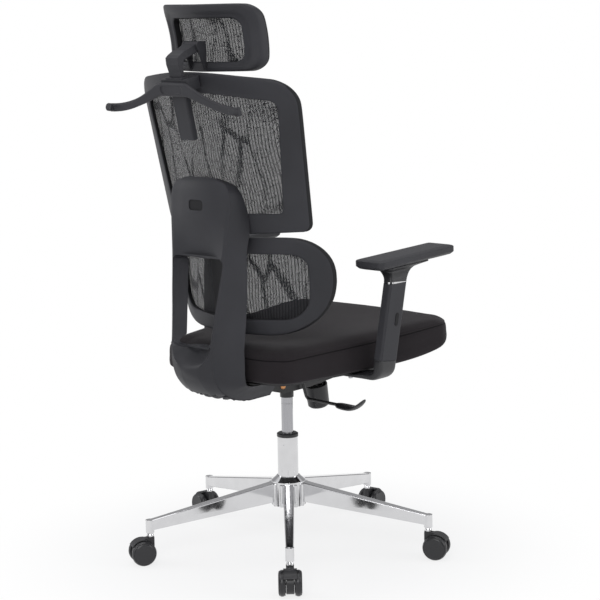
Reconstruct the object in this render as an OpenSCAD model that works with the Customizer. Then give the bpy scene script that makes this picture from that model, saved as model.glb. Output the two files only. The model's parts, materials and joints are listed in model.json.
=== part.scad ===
// Swivel office chair: five-leg base on twin-wheel casters, gas lift, tilt mechanism, padded seat,
// height-adjustable arms, and a mesh back, lumbar panel and headrest carried by one moulded spine.
// The sitter faces -Y, the sitter's right is -X, and the origin is on the floor at the swivel axis.

/* [Base] */
// Radius of the circle that the caster stems stand on
stem_circle_r = 350; // [310:5:370]
// How far the base is turned from straight ahead, in degrees
base_turn = 6; // [-36:1:36]
// Outer radius of the hub
hub_r = 42; // [40:0.5:48]
// Height of the hub's underside above the floor
hub_bottom_z = 111; // [105:1:125]
// Height of the hub's wall
hub_h = 60; // [55:1:75]
// Width of a leg at the hub
leg_root_w = 29; // [24:0.5:34]
// Width of a leg at its tip
leg_tip_w = 19; // [17:0.5:22]
// Depth of a leg at the hub
leg_root_h = 50; // [42:1:55]
// Depth of a leg at its tip
leg_tip_h = 25; // [22:1:30]
// Wall of the hollow, ribbed underside of a leg
leg_wall = 4; // [3:0.5:5]

/* [Casters] */
// Radius of a caster wheel
wheel_r = 30; // [25:1:32]
// Width of one wheel of a twin
wheel_w = 17.5; // [14:0.5:20]
// Gap between the two wheels of a twin
twin_gap = 19; // [16:0.5:24]
// How far the wheel's axle trails behind the stem
caster_trail = 20; // [16:1:26]
// Radius of the stem
stem_r = 5.5; // [4.5:0.25:6]
// Radius of the wheels' axle
axle_r = 4; // [3:0.25:5]

/* [Gas lift] */
// Outer radius of the chromed tube
tube_r = 25; // [23:0.5:27]
// Wall of the tube
tube_wall = 2; // [1.5:0.25:3]
// Length of tube that shows above the hub
tube_show = 98; // [80:1:120]
// Radius of the gas cylinder
cylinder_r = 14; // [12:0.5:15]
// Length of cylinder that shows at full height
lift_show = 89; // [80:1:110]
// Travel of the lift
lift_travel = 85; // [60:1:85]
// Radius of the piston rod
rod_r = 5; // [4:0.25:6]

/* [Mechanism] */
// Half-width of the steel housing
mech_half_w = 46; // [42:1:48]
// Height of the housing
mech_h = 54; // [50:1:60]
// Distance of the recline pivot behind the swivel axis
pivot_y = 68; // [60:1:80]
// Radius of the recline pivot pin
pivot_r = 5; // [4:0.25:6]
// Outer radius of the tension knob's rim
knob_r = 29; // [26:0.5:32]
// Height of the tension knob
knob_h = 57; // [45:1:60]
// Lean of the tension knob's axis
knob_lean = 12; // [0:1:14]
// Radius of the lever's rod
lever_r = 4; // [3:0.25:5]
// Length of the lever out from the housing
lever_reach = 164; // [130:1:175]

/* [Seat] */
// Half-width of the cushion at its front corners
seat_half_w = 265; // [240:1:272]
// How much narrower each side is at the rear
seat_taper = 70; // [20:1:80]
// Distance from the swivel axis to the middle of the cushion's rear seam
seat_rear_y = 248; // [235:1:255]
// Distance from the swivel axis to the middle of the cushion's front seam
seat_front_y = 342; // [280:1:350]
// Radius of the cushion's corners
seat_corner_r = 64; // [45:1:80]
// Height of the cushion's side below its seam
seat_side_h = 68; // [60:1:75]
// Crown of the cushion above its seam
seat_crown = 12; // [8:1:16]
// Thickness of the seat pan
pan_t = 7; // [6:0.5:10]

/* [Arms] */
// Distance from the cushion's side to the middle of an arm's column at its foot
arm_gap = 10; // [5:1:25]
// Thickness of the column
arm_t = 24; // [22:0.5:28]
// Depth of the column from front to back
arm_d = 62; // [54:1:68]
// Length of the column's sleeve
sleeve_h = 183; // [170:1:200]
// Travel of the armrest
arm_travel = 70; // [40:5:80]
// Width of an arm pad
pad_w = 84; // [70:1:95]
// Length of an arm pad
pad_l = 284; // [240:1:290]
// Thickness of an arm pad
pad_t = 22; // [18:1:28]

/* [Back] */
// Forward lean per millimetre of drop of the upper back panel
back_lean = 0.235; // [0.2:0.005:0.25]
// Half-width of the upper back frame at its top corners
back_half_w = 247; // [235:1:255]
// Height of the upper back frame
back_h = 376; // [360:1:385]
// Depth of the upper back frame's band
back_frame_t = 15; // [12:0.5:18]
// Half-width of the lumbar frame
lumbar_half_w = 243; // [225:1:250]
// Height of the lumbar frame
lumbar_h = 228; // [215:1:230]
// Depth of the lumbar frame's band
lumbar_frame_t = 16; // [12:0.5:18]
// Thickness of the stretched mesh
mesh_t = 1.6; // [1.2:0.1:2.4]
// Wall of the moulded spine
spine_wall = 5.5; // [4.5:0.5:6.5]

/* [Headrest] */
// Half-width of the headrest
head_half_w = 144; // [135:1:155]
// Height of the headrest
head_h = 150; // [135:1:155]
// Depth of the headrest frame
head_frame_t = 27; // [20:1:30]
// Width of the headrest's post
post_w = 38; // [32:1:44]
// Thickness of the headrest's post
post_t = 9; // [8:0.5:11]
// Half-length of the coat hanger
hanger_half_l = 202; // [185:1:215]

/* [Hidden] */
$fn = 64;
near = 0.3;          // gap between pieces that lie against each other
run = 0.05;          // radial clearance of a shaft in its bore
leg_count = 5;

// ---- levels, each worked out from the one below ----
stem_seat_z = 76;                                   // underside of the legs' stem sockets
hub_top_z = hub_bottom_z + hub_h;
cone_h = 11;                                        // sloping top of the hub
tube_top_z = hub_top_z + cone_h + tube_show;
collar_h = 9;
socket_z = tube_top_z + collar_h + lift_show;       // mouth of the mechanism's tapered socket
socket_h = 24;                                      // socket that shows below the housing
mech_z = socket_z + socket_h;                       // underside of the housing
pan_z = mech_z + mech_h + near;                     // underside of the seat pan
pan_top = pan_t + near;                             // cushion's underside above pan_z

// ---- colours ----
black = [0.11, 0.11, 0.12];
dark = [0.17, 0.17, 0.18];
chrome = [0.80, 0.81, 0.83];
steel = [0.55, 0.56, 0.58];
brass = [0.72, 0.50, 0.33];
mesh_grey = [0.33, 0.33, 0.35];
fabric = [0.09, 0.085, 0.09];

// ================= general shapes =================

function mix(a, b, t) = a + (b - a) * t;
function unit(v) = v / norm(v);

// Points that round one corner q, reached from p and left towards s, with radius r
function corner(p, q, s, r, n) =
    let (u = unit(p - q), v = unit(s - q), half = acos(u * v) / 2,
         c = q + unit(u + v) * r / sin(half), a = q + u * r / tan(half) - c, b = q + v * r / tan(half) - c,
         turn = acos(max(-1, min(1, a * b / (r * r)))))
    [for (i = [0 : n]) c + (a * sin(turn * (1 - i / n)) + b * sin(turn * i / n)) / sin(turn)];

// Closed outline through corners [x, y, radius], with n steps round each corner and m along each side
function outline(c, n = 6, m = 1) =
    let (k = len(c), xy = [for (p = c) [p[0], p[1]]],
         arcs = [for (i = [0 : k - 1]) corner(xy[(i + k - 1) % k], xy[i], xy[(i + 1) % k], c[i][2], n)])
    [for (i = [0 : k - 1]) each concat(arcs[i],
        m < 2 ? [] : [for (j = [1 : m - 1]) mix(arcs[i][n], arcs[(i + 1) % k][0], j / m)])];

// Rectangle of w by d with rounded corners, about the origin
function rounded_rect(w, d, r, n = 5) =
    outline([[-w / 2, -d / 2, r], [w / 2, -d / 2, r], [w / 2, d / 2, r], [-w / 2, d / 2, r]], n);

// Solid through a list of rings that all have as many points; a loop joins the last ring to the first
module skin(rings, loop = false) {
    n = len(rings[0]);
    last = len(rings) - (loop ? 1 : 2);
    walls = [for (i = [0 : last], j = [0 : n - 1], half = [0, 1])
        let (a = i * n + j, b = i * n + (j + 1) % n, k = (i + 1) % len(rings), c = k * n + j,
             d = k * n + (j + 1) % n)
        half == 0 ? [a, c, b] : [b, c, d]];
    caps = loop ? [] : [[for (j = [0 : n - 1]) j], [for (j = [n - 1 : -1 : 0]) (len(rings) - 1) * n + j]];
    polyhedron(points = [for (r = rings) each r], faces = concat(walls, caps));
}

module tube(r, bore, h) {
    difference() {
        cylinder(r = r, h = h);
        translate([0, 0, -1]) cylinder(r = bore, h = h + 2);
    }
}

module slab(w, d, h, r) {
    linear_extrude(h) polygon(rounded_rect(w, d, r));
}

// ================= base =================

function leg_angle(k) = 222 + base_turn - 6 + k * 360 / leg_count;
// Puts children on leg k, whose length runs along +X
module on_leg(k) {
    rotate([0, 0, leg_angle(k) - 90]) children();
}

leg_top_z = hub_top_z + 3;                          // top of a leg where it leaves the hub
leg_end_z = stem_seat_z + leg_tip_h + 6;            // top of a leg over its stem
boss_r = leg_tip_w / 2 + 0.7;

function leg_section(w, h) =
    outline([[-w / 2 + 1, 0, 1], [w / 2 - 1, 0, 1], [w / 2, h, 3], [-w / 2, h, 3]], 4);

module leg_body() {
    hull() {
        translate([10, 0, leg_top_z - leg_root_h]) rotate([90, 0, 90]) linear_extrude(0.1)
            polygon(leg_section(leg_root_w, leg_root_h));
        translate([stem_circle_r - 2, 0, leg_end_z - leg_tip_h]) rotate([90, 0, 90]) linear_extrude(0.1)
            polygon(leg_section(leg_tip_w, leg_tip_h));
    }
}

// Cells between the cross ribs of a leg's hollow underside
module leg_cells() {
    from = hub_r + 8;
    to = stem_circle_r - boss_r - 8;
    cells = 5;
    pitch = (to - from) / cells;
    slope = (leg_top_z - leg_end_z) / stem_circle_r;
    for (i = [0 : cells - 1]) {
        a = from + i * pitch;
        b = a + pitch - leg_wall;
        wa = mix(leg_root_w, leg_tip_w, a / stem_circle_r) / 2 - leg_wall;
        wb = mix(leg_root_w, leg_tip_w, b / stem_circle_r) / 2 - leg_wall;
        intersection() {
            translate([0, 0, 40]) linear_extrude(200) polygon([[a, -wa], [b, -wb], [b, wb], [a, wa]]);
            translate([0, 30, 0]) rotate([90, 0, 0]) linear_extrude(60)
                polygon([[a - 1, 40], [b + 1, 40], [b + 1, leg_top_z - slope * (b + 1) - leg_wall * 2.5],
                         [a - 1, leg_top_z - slope * (a - 1) - leg_wall * 2.5]]);
        }
    }
}

module base_star() {
    stem_hole = 24;
    color(chrome) difference() {
        union() {
            translate([0, 0, hub_bottom_z]) cylinder(r = hub_r, h = hub_h);
            translate([0, 0, hub_top_z]) cylinder(r1 = hub_r, r2 = tube_r + 4, h = cone_h);
            for (k = [0 : leg_count - 1]) on_leg(k) {
                leg_body();
                translate([stem_circle_r, 0, stem_seat_z]) cylinder(r = boss_r, h = leg_end_z - stem_seat_z);
                // upright ribs where the leg leaves the hub
                for (s = [-1, 1]) translate([hub_r - 3, s * (leg_root_w / 2 + 2), hub_bottom_z + 1])
                    cylinder(r = 5, h = hub_h - 6);
            }
        }
        translate([0, 0, hub_bottom_z - 1]) cylinder(r = tube_r + run, h = hub_h + cone_h + 2);
        for (k = [0 : leg_count - 1]) on_leg(k) {
            leg_cells();
            translate([stem_circle_r, 0, stem_seat_z - 1]) cylinder(r = stem_r + run, h = stem_hole + 1);
        }
    }
}

// ================= casters =================

hood_top_z = 66;
grip_r = stem_r + run + 2.5;                        // collar of the stem, under the leg's socket
module on_stem(k) {
    on_leg(k) translate([stem_circle_r, 0, 0]) children();
}

module caster_stem(k) {
    color(chrome) on_stem(k) {
        translate([0, 0, hood_top_z - 22]) cylinder(r = stem_r, h = 22 + stem_seat_z + 22 - hood_top_z);
        translate([0, 0, hood_top_z + near]) cylinder(r = grip_r, h = 4);
        translate([0, 0, hood_top_z + 4]) cylinder(r1 = grip_r + 0.5, r2 = stem_r + 0.5,
            h = stem_seat_z - near - hood_top_z - 4);
    }
}

// Central web between the twin wheels, with the stem's housing and a mudguard over the treads
module caster_hood(k) {
    web_r = wheel_r - 5;
    guard_r = wheel_r + 3;
    guard_w = twin_gap + 12;
    color(black) on_stem(k) difference() {
        union() {
            translate([0, (twin_gap - 1) / 2, 0]) rotate([90, 0, 0]) linear_extrude(twin_gap - 1) {
                translate([caster_trail, wheel_r]) circle(r = web_r);
                polygon([[-8, 44], [-8, hood_top_z], [caster_trail, hood_top_z - 3],
                         [caster_trail + web_r * 0.7, wheel_r + web_r * 0.7], [caster_trail, 20],
                         [caster_trail - web_r * 0.8, 22]]);
            }
            translate([0, 0, hood_top_z - 26]) cylinder(r = twin_gap / 2 - near, h = 26);
            translate([caster_trail, guard_w / 2, wheel_r]) rotate([90, 0, 0]) intersection() {
                tube(guard_r, wheel_r + 0.8, guard_w);
                translate([0, 0, -1]) linear_extrude(guard_w + 2)
                    polygon([[0, 0], [-14, 60], [26, 60], [40, 26]]);
            }
        }
        translate([0, 0, hood_top_z - 22]) cylinder(r = stem_r + run, h = 30);
        translate([caster_trail, 50, wheel_r]) rotate([90, 0, 0]) cylinder(r = axle_r + run, h = 100);
    }
}

// One wheel lying on z = 0, tread rounded, outer face dished round a hub cap
module wheel() {
    r = wheel_r;
    w = wheel_w;
    rotate_extrude($fn = 72) polygon(concat(
        [[0, 0], [r - 7, 0], [r - 7, 1.5], [r - 2, 1.5]],
        [for (a = [-75 : 25 : 75]) [r - 2 + 2 * cos(a), w / 2 + (w / 2 - 4) * sin(a) / sin(75)]],
        [[r - 3, w - 1], [r - 4.2, w - 1.8], [r - 5.4, w - 1], [r - 7, w], [6, w - 0.6], [0, w - 0.6]]));
}

module caster_wheels(k) {
    color(black) on_stem(k) translate([caster_trail, 0, wheel_r]) rotate([90, 0, 0]) {
        for (s = [0, 1]) mirror([0, 0, s]) translate([0, 0, twin_gap / 2]) wheel();
        translate([0, 0, -twin_gap / 2 - 1]) cylinder(r = axle_r, h = twin_gap + 2);
    }
}

// ================= gas lift =================

tube_bottom_z = hub_bottom_z - 5;
bearing_z = tube_bottom_z + 3 + near;
cylinder_z = tube_top_z - 56;                       // gland end of the cylinder at full height
taper_h = 40;
taper_r = cylinder_r - 0.8;
pin_r = 4;
pin_rise = 7;                                       // how far the release pin stands out of the cylinder
cylinder_top_z = socket_z + taper_h + 4;

module lift_tube() {
    color(chrome) difference() {
        translate([0, 0, tube_bottom_z]) cylinder(r = tube_r, h = tube_top_z - tube_bottom_z);
        translate([0, 0, tube_bottom_z + 3]) cylinder(r = tube_r - tube_wall, h = 400);
        translate([0, 0, tube_bottom_z - 1]) cylinder(r = rod_r + run, h = 6);
        // indents that stake the guide bush near the mouth
        for (a = [20 : 90 : 290]) rotate([0, 0, a]) translate([tube_r + 1.2, 0, tube_top_z - 18]) sphere(r = 2, $fn = 24);
    }
}

module lift_collar() {
    color(black) {
        translate([0, 0, tube_top_z + 0.05]) tube(tube_r + 1, cylinder_r + run, collar_h - 2);
        translate([0, 0, tube_top_z + collar_h - 2]) difference() {
            cylinder(r1 = tube_r + 1, r2 = tube_r - 2, h = 2);
            translate([0, 0, -1]) cylinder(r = cylinder_r + run, h = 4);
        }
        translate([0, 0, tube_top_z - 50]) tube(tube_r - tube_wall - run, cylinder_r + run, 50.1);
    }
}

module thrust_bearing() {
    balls = 12;
    ball_ring_r = 9.5;
    color(steel) translate([0, 0, bearing_z]) {
        tube(13, rod_r + run, 1.5);
        for (i = [0 : balls - 1]) rotate([0, 0, i * 360 / balls]) translate([ball_ring_r, 0, 3]) sphere(r = 1.6, $fn = 24);
        translate([0, 0, 4.5]) tube(13, rod_r + run, 1.5);
    }
}

module lift_rod() {
    nut_h = 5;
    piston_z = cylinder_z + 12;
    color(steel) {
        translate([0, 0, tube_bottom_z - nut_h - 2]) cylinder(r = rod_r, h = piston_z + 9 - tube_bottom_z + nut_h + 2);
        translate([0, 0, tube_bottom_z - nut_h - near]) cylinder(r = rod_r + 4, h = nut_h, $fn = 6);
        translate([0, 0, bearing_z + 6 + near]) cylinder(r = rod_r + 4, h = 3);
        translate([0, 0, piston_z]) cylinder(r = cylinder_r - 3 - run, h = 10);
    }
}

module lift_cylinder() {
    groove_z = socket_z - 16;
    color(steel) difference() {
        union() {
            translate([0, 0, cylinder_z]) cylinder(r = cylinder_r, h = socket_z - cylinder_z);
            translate([0, 0, socket_z]) cylinder(r1 = cylinder_r, r2 = taper_r, h = taper_h);
            translate([0, 0, socket_z + taper_h]) cylinder(r = 8, h = 4);
        }
        translate([0, 0, cylinder_z - 1]) cylinder(r = rod_r + run, h = 20);
        translate([0, 0, cylinder_z + 8]) cylinder(r = cylinder_r - 3, h = lift_travel + 26);
        translate([0, 0, cylinder_top_z - 24]) cylinder(r = pin_r + run, h = 30);
        translate([0, 0, groove_z]) difference() {
            cylinder(r = cylinder_r + 1, h = 1.6);
            translate([0, 0, -1]) cylinder(r = cylinder_r - 0.5, h = 4);
        }
    }
}

module release_pin() {
    color(steel) translate([0, 0, cylinder_top_z - 18]) cylinder(r = pin_r, h = 18 + pin_rise);
}

// ================= mechanism =================

mech_front_y = -132;
mech_rear_y = 92;
plate_t = 3;
flange_hole_x = 84;
flange_hole_y = 74;
bolt_r = 3;
knob_y = -103;                                      // where the knob's axis meets the housing's underside
knob_gap = 18;                                      // from the housing to the knob's rim, along the axis
lever_y = 7;
lever_z = cylinder_top_z + pin_rise + 2 + near;     // axis that the lever rocks on, in the housing's side
tongue_h = 4;
pivot_z = mech_z + 20;

// Side outline of the housing in (y, z), inset by w
function mech_side(w) = [
    [mech_front_y + w, mech_z + mech_h + 20 * (w > 0 ? 1 : 0)], [mech_front_y + w, mech_z + 26],
    [mech_front_y + 16 + w * 0.6, mech_z + 7 + w], [-30, mech_z + w], [60, mech_z + w],
    [mech_rear_y - w, mech_z + 9 + w], [mech_rear_y - w, mech_z + mech_h + 20 * (w > 0 ? 1 : 0)]];

module across(w) {
    rotate([90, 0, 90]) translate([0, 0, -w / 2]) linear_extrude(w) children();
}

module on_knob_axis() {
    translate([0, knob_y, mech_z + 6]) rotate([-knob_lean, 0, 0]) mirror([0, 0, 1]) children();
}

module mech_housing() {
    flange_w = 216;
    flange_d = 36;
    color(black) difference() {
        union() {
            across(2 * mech_half_w) polygon(mech_side(0));
            for (s = [-1, 1]) translate([0, s * flange_hole_y, mech_z + mech_h - plate_t])
                slab(flange_w, flange_d, plate_t, 6);
            translate([0, 0, socket_z]) cylinder(r = cylinder_r + 2.5, h = socket_h + 1);
            on_knob_axis() translate([0, 0, -4]) cylinder(r = knob_r - 4, h = 10);
        }
        difference() {
            across(2 * (mech_half_w - plate_t)) polygon(mech_side(plate_t));
            translate([0, 0, mech_z]) cylinder(r = cylinder_r + 5, h = socket_z + taper_h - mech_z - 1);
            on_knob_axis() translate([0, 0, -16]) cylinder(r = 12, h = 20);
            // cross wall that the tension bolt pulls against
            translate([-mech_half_w, knob_y + 34, mech_z]) cube([2 * mech_half_w, plate_t, mech_h - 12]);
        }
        translate([0, 0, socket_z - 0.01]) cylinder(r1 = cylinder_r + run, r2 = taper_r + run, h = taper_h);
        translate([0, 0, socket_z + taper_h - 1]) cylinder(r = cylinder_r, h = 20);
        translate([0, pivot_y, pivot_z]) rotate([0, 90, 0]) translate([0, 0, -100])
            cylinder(r = pivot_r + run, h = 200);
        on_knob_axis() translate([0, 0, -30]) cylinder(r = 5 + run, h = 60);
        // slot that the lever rocks in
        translate([-mech_half_w - 1, lever_y - lever_r - 1.5, lever_z - lever_r - 3])
            cube([plate_t + 3, 2 * lever_r + 3, 2 * lever_r + 6]);
        for (x = [-1, 1], y = [-1, 1]) translate([x * flange_hole_x, y * flange_hole_y, mech_z + mech_h - 10])
            cylinder(r = bolt_r + run, h = 20);
    }
}

bracket_t = 3;
bracket_half_w = mech_half_w + near + bracket_t;    // outer faces of the bracket's side plates
spine_foot_y = 122;                                 // front end of the spine's foot
spine_floor_z = pan_z + 10 - 56;                    // underside of the spine's foot
bracket_z = spine_floor_z + spine_wall + 2;         // floor of the bracket, on the spine's foot
bracket_rear_y = 184;
bracket_bolt_y = [138, 170];
bracket_bolt_x = 30;

module recline_bracket() {
    color(black) difference() {
        union() {
            for (s = [-1, 1]) translate([s * (bracket_half_w - bracket_t / 2), 0, 0]) across(bracket_t) {
                translate([pivot_y, pivot_z]) circle(r = 16);
                polygon([[pivot_y, pivot_z + 16], [pivot_y - 4, pivot_z - 15.4], [spine_foot_y - 8, bracket_z],
                         [bracket_rear_y, bracket_z],
                         [bracket_rear_y, bracket_z + 14]]);
            }
            translate([-bracket_half_w, mech_rear_y + 10, bracket_z])
                cube([2 * bracket_half_w, bracket_rear_y - mech_rear_y - 10, bracket_t]);
        }
        translate([0, pivot_y, pivot_z]) rotate([0, 90, 0]) translate([0, 0, -100])
            cylinder(r = pivot_r + run, h = 200);
        for (x = [-1, 1], y = bracket_bolt_y) translate([x * bracket_bolt_x, y, bracket_z - 1])
            cylinder(r = bolt_r + run, h = 10);
    }
}

module back_pivot() {
    half = bracket_half_w + near;
    color(brass) translate([0, pivot_y, pivot_z]) rotate([0, 90, 0]) {
        translate([0, 0, -half]) cylinder(r = pivot_r, h = 2 * half);
        for (s = [0, 1]) mirror([0, 0, s]) translate([0, 0, half]) cylinder(r1 = pivot_r + 3, r2 = pivot_r + 1.5, h = 3);
    }
}

spring_wire = 2.2;
spring_r = 18;
knob_floor = 7;
module tension_bolt() {
    color(steel) on_knob_axis() {
        translate([0, 0, -17]) cylinder(r = 5, h = 17 + knob_gap + knob_h - 4);
        translate([0, 0, -24]) cylinder(r = 9, h = 8 - near, $fn = 6);
    }
}

// Coil between the housing and the knob's floor
module tension_spring() {
    turns = 7;
    steps = 16;
    sides = 6;
    low = 6 + spring_wire + near;
    high = knob_gap + knob_h - knob_floor - spring_wire - near;
    function rise(t) = low + (high - low) * t / turns;
    color(black) on_knob_axis() skin([for (i = [0 : turns * steps])
        let (t = i / steps, a = t * 360)
        [for (j = [0 : sides - 1]) let (b = j * 360 / sides, r = spring_r + spring_wire * cos(b))
            [r * cos(a), r * sin(a), rise(t) - spring_wire * sin(b)]]]);
}

module tension_knob() {
    taper = 2.5;
    wall = 3;
    color(black) on_knob_axis() translate([0, 0, knob_gap]) difference() {
        rotate_extrude() polygon([[5 + run, knob_h - knob_floor], [knob_r - taper - wall, knob_h - knob_floor],
            [knob_r - wall, 1], [knob_r - wall + 1, 0], [knob_r - 0.6, 0], [knob_r, 1],
            [knob_r - taper, knob_h - 4], [knob_r - taper - 4, knob_h], [5 + run, knob_h]]);
        // finger scallops round the foot
        for (a = [0 : 30 : 330]) rotate([0, 0, a]) translate([knob_r + 0.5, 0, knob_h - 9])
            cylinder(r = 3, h = 12, $fn = 24);
    }
}

// Cranked rod: inside tongue over the release pin, down the housing's side, then out to the handle
lever_low_z = mech_z - 24;
lever_out_x = -mech_half_w - 9;
lever_bend_r = 11;
// Round bar along a path of points
module bar(path, r) {
    n = len(path) - 1;
    skin([for (i = [0 : n])
        let (t = unit(path[min(n, i + 1)] - path[max(0, i - 1)]), u = unit(cross([0, 1, 0], t)), v = cross(t, u))
        [for (a = [0 : 22.5 : 337.5]) path[i] + r * (u * cos(a) + v * sin(a))]]);
}

module lever_rod() {
    a = [-mech_half_w + 6, lever_y, lever_z];
    b = [lever_out_x, lever_y, lever_z];
    c = [lever_out_x - 2, lever_y - 16, lever_low_z];
    d = [lever_out_x - lever_reach + 58.5, lever_y - 12, lever_low_z];
    color(black) {
        bar(concat([a], corner(a, b, c, lever_bend_r, 6), corner(b, c, d, lever_bend_r, 6), [d]), lever_r);
        translate([-mech_half_w + 5, lever_y - 7, lever_z - tongue_h / 2])
            cube([mech_half_w - 3, 10, tongue_h]);
        translate([0, lever_y - 2, lever_z - tongue_h / 2]) cylinder(r = 9, h = tongue_h);
    }
}

// Paddle with a finger dish and an upturned end
module lever_handle() {
    start = lever_out_x - lever_reach + 60;
    // [distance out, rise, half-width, half-thickness]
    stations = [[0, 0, 9, 5.5], [7, -0.5, 16, 7], [24, -1.5, 20, 7], [42, -2, 20, 6.5], [53, 0, 19, 5.5],
                [63, 5, 16, 5], [73, 13, 12, 5], [80, 19, 9, 4.5], [83, 22, 5, 3]];
    color(black) difference() {
        skin([for (s = stations) [for (a = [0 : 24 : 336])
            [start - s[0], lever_y - 9 + s[2] * cos(a), lever_low_z + s[1] - s[3] * sin(a)]]]);
        translate([start - 1.7, lever_y - 12, lever_low_z]) rotate([0, 90, 0]) cylinder(r = lever_r, h = 20);
    }
}

// ================= seat =================

// Outline of the cushion at its seam, pulled in by w
function seat_outline(w) =
    let (rear_x = seat_half_w - seat_taper - w, front_x = seat_half_w - w, r = seat_corner_r - w * 0.5,
         rear_bow = 26, front_bow = 8)
    outline([[rear_x, seat_rear_y - rear_bow - w, r], [0, seat_rear_y - w, 600],
             [-rear_x, seat_rear_y - rear_bow - w, r], [-front_x, -seat_front_y + front_bow + w, r],
             [0, -seat_front_y + w, 600], [front_x, -seat_front_y + front_bow + w, r]], 6, 5);

// The outline at any pull-in; beyond 30 it shrinks evenly about the middle
function seat_ring(w) = [for (p = seat_outline(min(w, 30))) p * (1 - max(0, w - 30) / seat_half_w)];

// Height of the seam above the pan's underside: it climbs to the front
function seam_z(y) = pan_top + seat_side_h - 0.027 * y + 0.00009 * pow(max(0, -y), 2);
// The underside curls up in front of the pan
function under_z(y) = pan_top + 0.0012 * pow(max(0, -y - 150), 2);
pan_front_y = -150;
pan_in = 26;                                        // pan's edge inside the cushion's seam
// Half-width of the pan at y
function pan_side(y) =
    seat_half_w - pan_in - seat_taper * (y + seat_front_y - pan_in) / (seat_rear_y + seat_front_y - 2 * pan_in);

module seat_pan() {
    color(black) translate([0, 0, pan_z]) difference() {
        linear_extrude(pan_t) intersection() {
            polygon(seat_ring(pan_in));
            translate([-300, pan_front_y]) square([600, 600]);
        }
        for (p = mount_points()) translate([p[0], p[1], -1]) cylinder(r = bolt_r + run, h = pan_t - 1);
    }
}

module seat_cushion() {
    // [pull-in, share of the side's height, share of the crown]
    levels = [[225, 0, 0], [160, 0, 0], [90, 0, 0], [34, 0, 0], [14, 0, 0], [4, 0.08, 0], [-1, 0.3, 0],
              [-2, 0.65, 0], [0, 1, 0], [4, 1, 0.3], [12, 1, 0.6], [30, 1, 0.9], [70, 1, 1], [130, 1, 1], [200, 1, 0.95]];
    color(fabric) translate([0, 0, pan_z]) skin([for (l = levels)
        [for (p = seat_ring(l[0])) [p[0], p[1], mix(under_z(p[1]) + near, seam_z(p[1]), l[1])
            + l[2] * seat_crown * (1 - 0.8 * max(0, -p[1]) / seat_front_y)]]]);
}

arm_foot_y = -39;
arm_bolt_x = [125, 185];
arm_bolt_dy = 18;
function mount_points() = concat(
    [for (x = [-1, 1], y = [-1, 1]) [x * flange_hole_x, y * flange_hole_y]],
    [for (x = arm_bolt_x, y = [-1, 1], s = [-1, 1]) [s * x, arm_foot_y + y * arm_bolt_dy]]);
foot_t = 8;                                         // steel foot of an arm bracket, under the pan

module mount_bolts() {
    head_h = 4;
    color(steel) for (i = [0 : len(mount_points()) - 1]) {
        p = mount_points()[i];
        under = i < 4 ? plate_t : foot_t;
        translate([p[0], p[1], pan_z - near - under - head_h - near]) {
            cylinder(r = 5.5, h = head_h, $fn = 6);
            cylinder(r = bolt_r, h = head_h + 2 * near + under + pan_t - 2.5);
        }
    }
}

// ================= arms =================

arm_foot_z = pan_z + 39;                            // seam between bracket and sleeve
arm_x = seat_half_w + arm_gap;                      // middle of an arm's column at its foot
arm_lean_fwd = 6.5;
arm_lean_out = 4.7;
ring_h = 4;                                         // height of the inlay strip's rear end
post_half = [6, 22];
// Frame of the right arm's column, +Z up along the column
module on_column() {
    translate([-arm_x, arm_foot_y, arm_foot_z]) rotate([arm_lean_fwd, -arm_lean_out, 0]) children();
}

// A point of the column's frame in the chair's frame
function from_column(p) =
    let (q = [p[0], p[1] * cos(arm_lean_fwd) - p[2] * sin(arm_lean_fwd), p[1] * sin(arm_lean_fwd) + p[2] * cos(arm_lean_fwd)])
    [-arm_x + q[0] * cos(arm_lean_out) - q[2] * sin(arm_lean_out), arm_foot_y + q[1],
     arm_foot_z + q[0] * sin(arm_lean_out) + q[2] * cos(arm_lean_out)];

// Elbow from the foot under the seat up to the column
module arm_bracket() {
    bend_r = 26;
    floor_z = pan_z - near - foot_t / 2;
    ring2 = rounded_rect(1, 1, 0.22, 4);
    // upright end, swept down through the bend to the flat foot: [x, z, turn, thickness, depth]
    top = from_column([0, 0, 6]);
    bend_x = -arm_x + bend_r + 1;
    bend_z = floor_z + bend_r;
    thick_t = foot_t + 6;                           // outside the pan the foot fills the space under the cushion
    thick_z = floor_z + 3;
    pan_x = -pan_side(arm_foot_y - arm_d / 2);
    function outer_r(a) = bend_r + mix(foot_t + 2, arm_t - 1, a / 90) / 2;
    function bend_t(a) = mix(thick_t + 2, arm_t - 1, a / 90);
    stations = concat(
        [[top[0], top[2], 90, arm_t, arm_d]],
        [for (a = [90 : -15 : 15]) let (r = outer_r(a) - bend_t(a) / 2)
            [bend_x - r * sin(a), bend_z - r * cos(a), a, bend_t(a), arm_d]],
        [[bend_x + 10, thick_z, 0, thick_t, arm_d], [pan_x - 9, thick_z, 0, thick_t, arm_d],
         [pan_x + 3, floor_z, 0, foot_t, arm_d], [-arm_bolt_x[0] + 15, floor_z, 0, foot_t, arm_d]]);
    color(black) difference() {
        skin([for (s = stations) [for (p = ring2)
            [s[0] - p[0] * s[3] * sin(s[2]), arm_foot_y + p[1] * s[4], s[1] - p[0] * s[3] * cos(s[2])]]]);
        on_column() translate([-50, -60, 0]) cube([100, 120, 60]);
        on_column() translate([0, 0, -28]) slab(2 * post_half[0] + 0.1, 2 * post_half[1] + 0.1, 60, 3);
        for (x = arm_bolt_x, y = [-1, 1]) translate([-x, arm_foot_y + y * arm_bolt_dy, floor_z - 10])
            cylinder(r = bolt_r + run, h = 20);
    }
}

module arm_post() {
    holes = 6;
    color(steel) on_column() difference() {
        translate([0, 0, -27.5]) slab(2 * post_half[0], 2 * post_half[1], sleeve_h + 12, 3);
        for (i = [0 : holes - 1]) translate([-20, 0, 62 + i * 14]) rotate([0, 90, 0]) cylinder(r = 4, h = 40, $fn = 32);
    }
}

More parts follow.
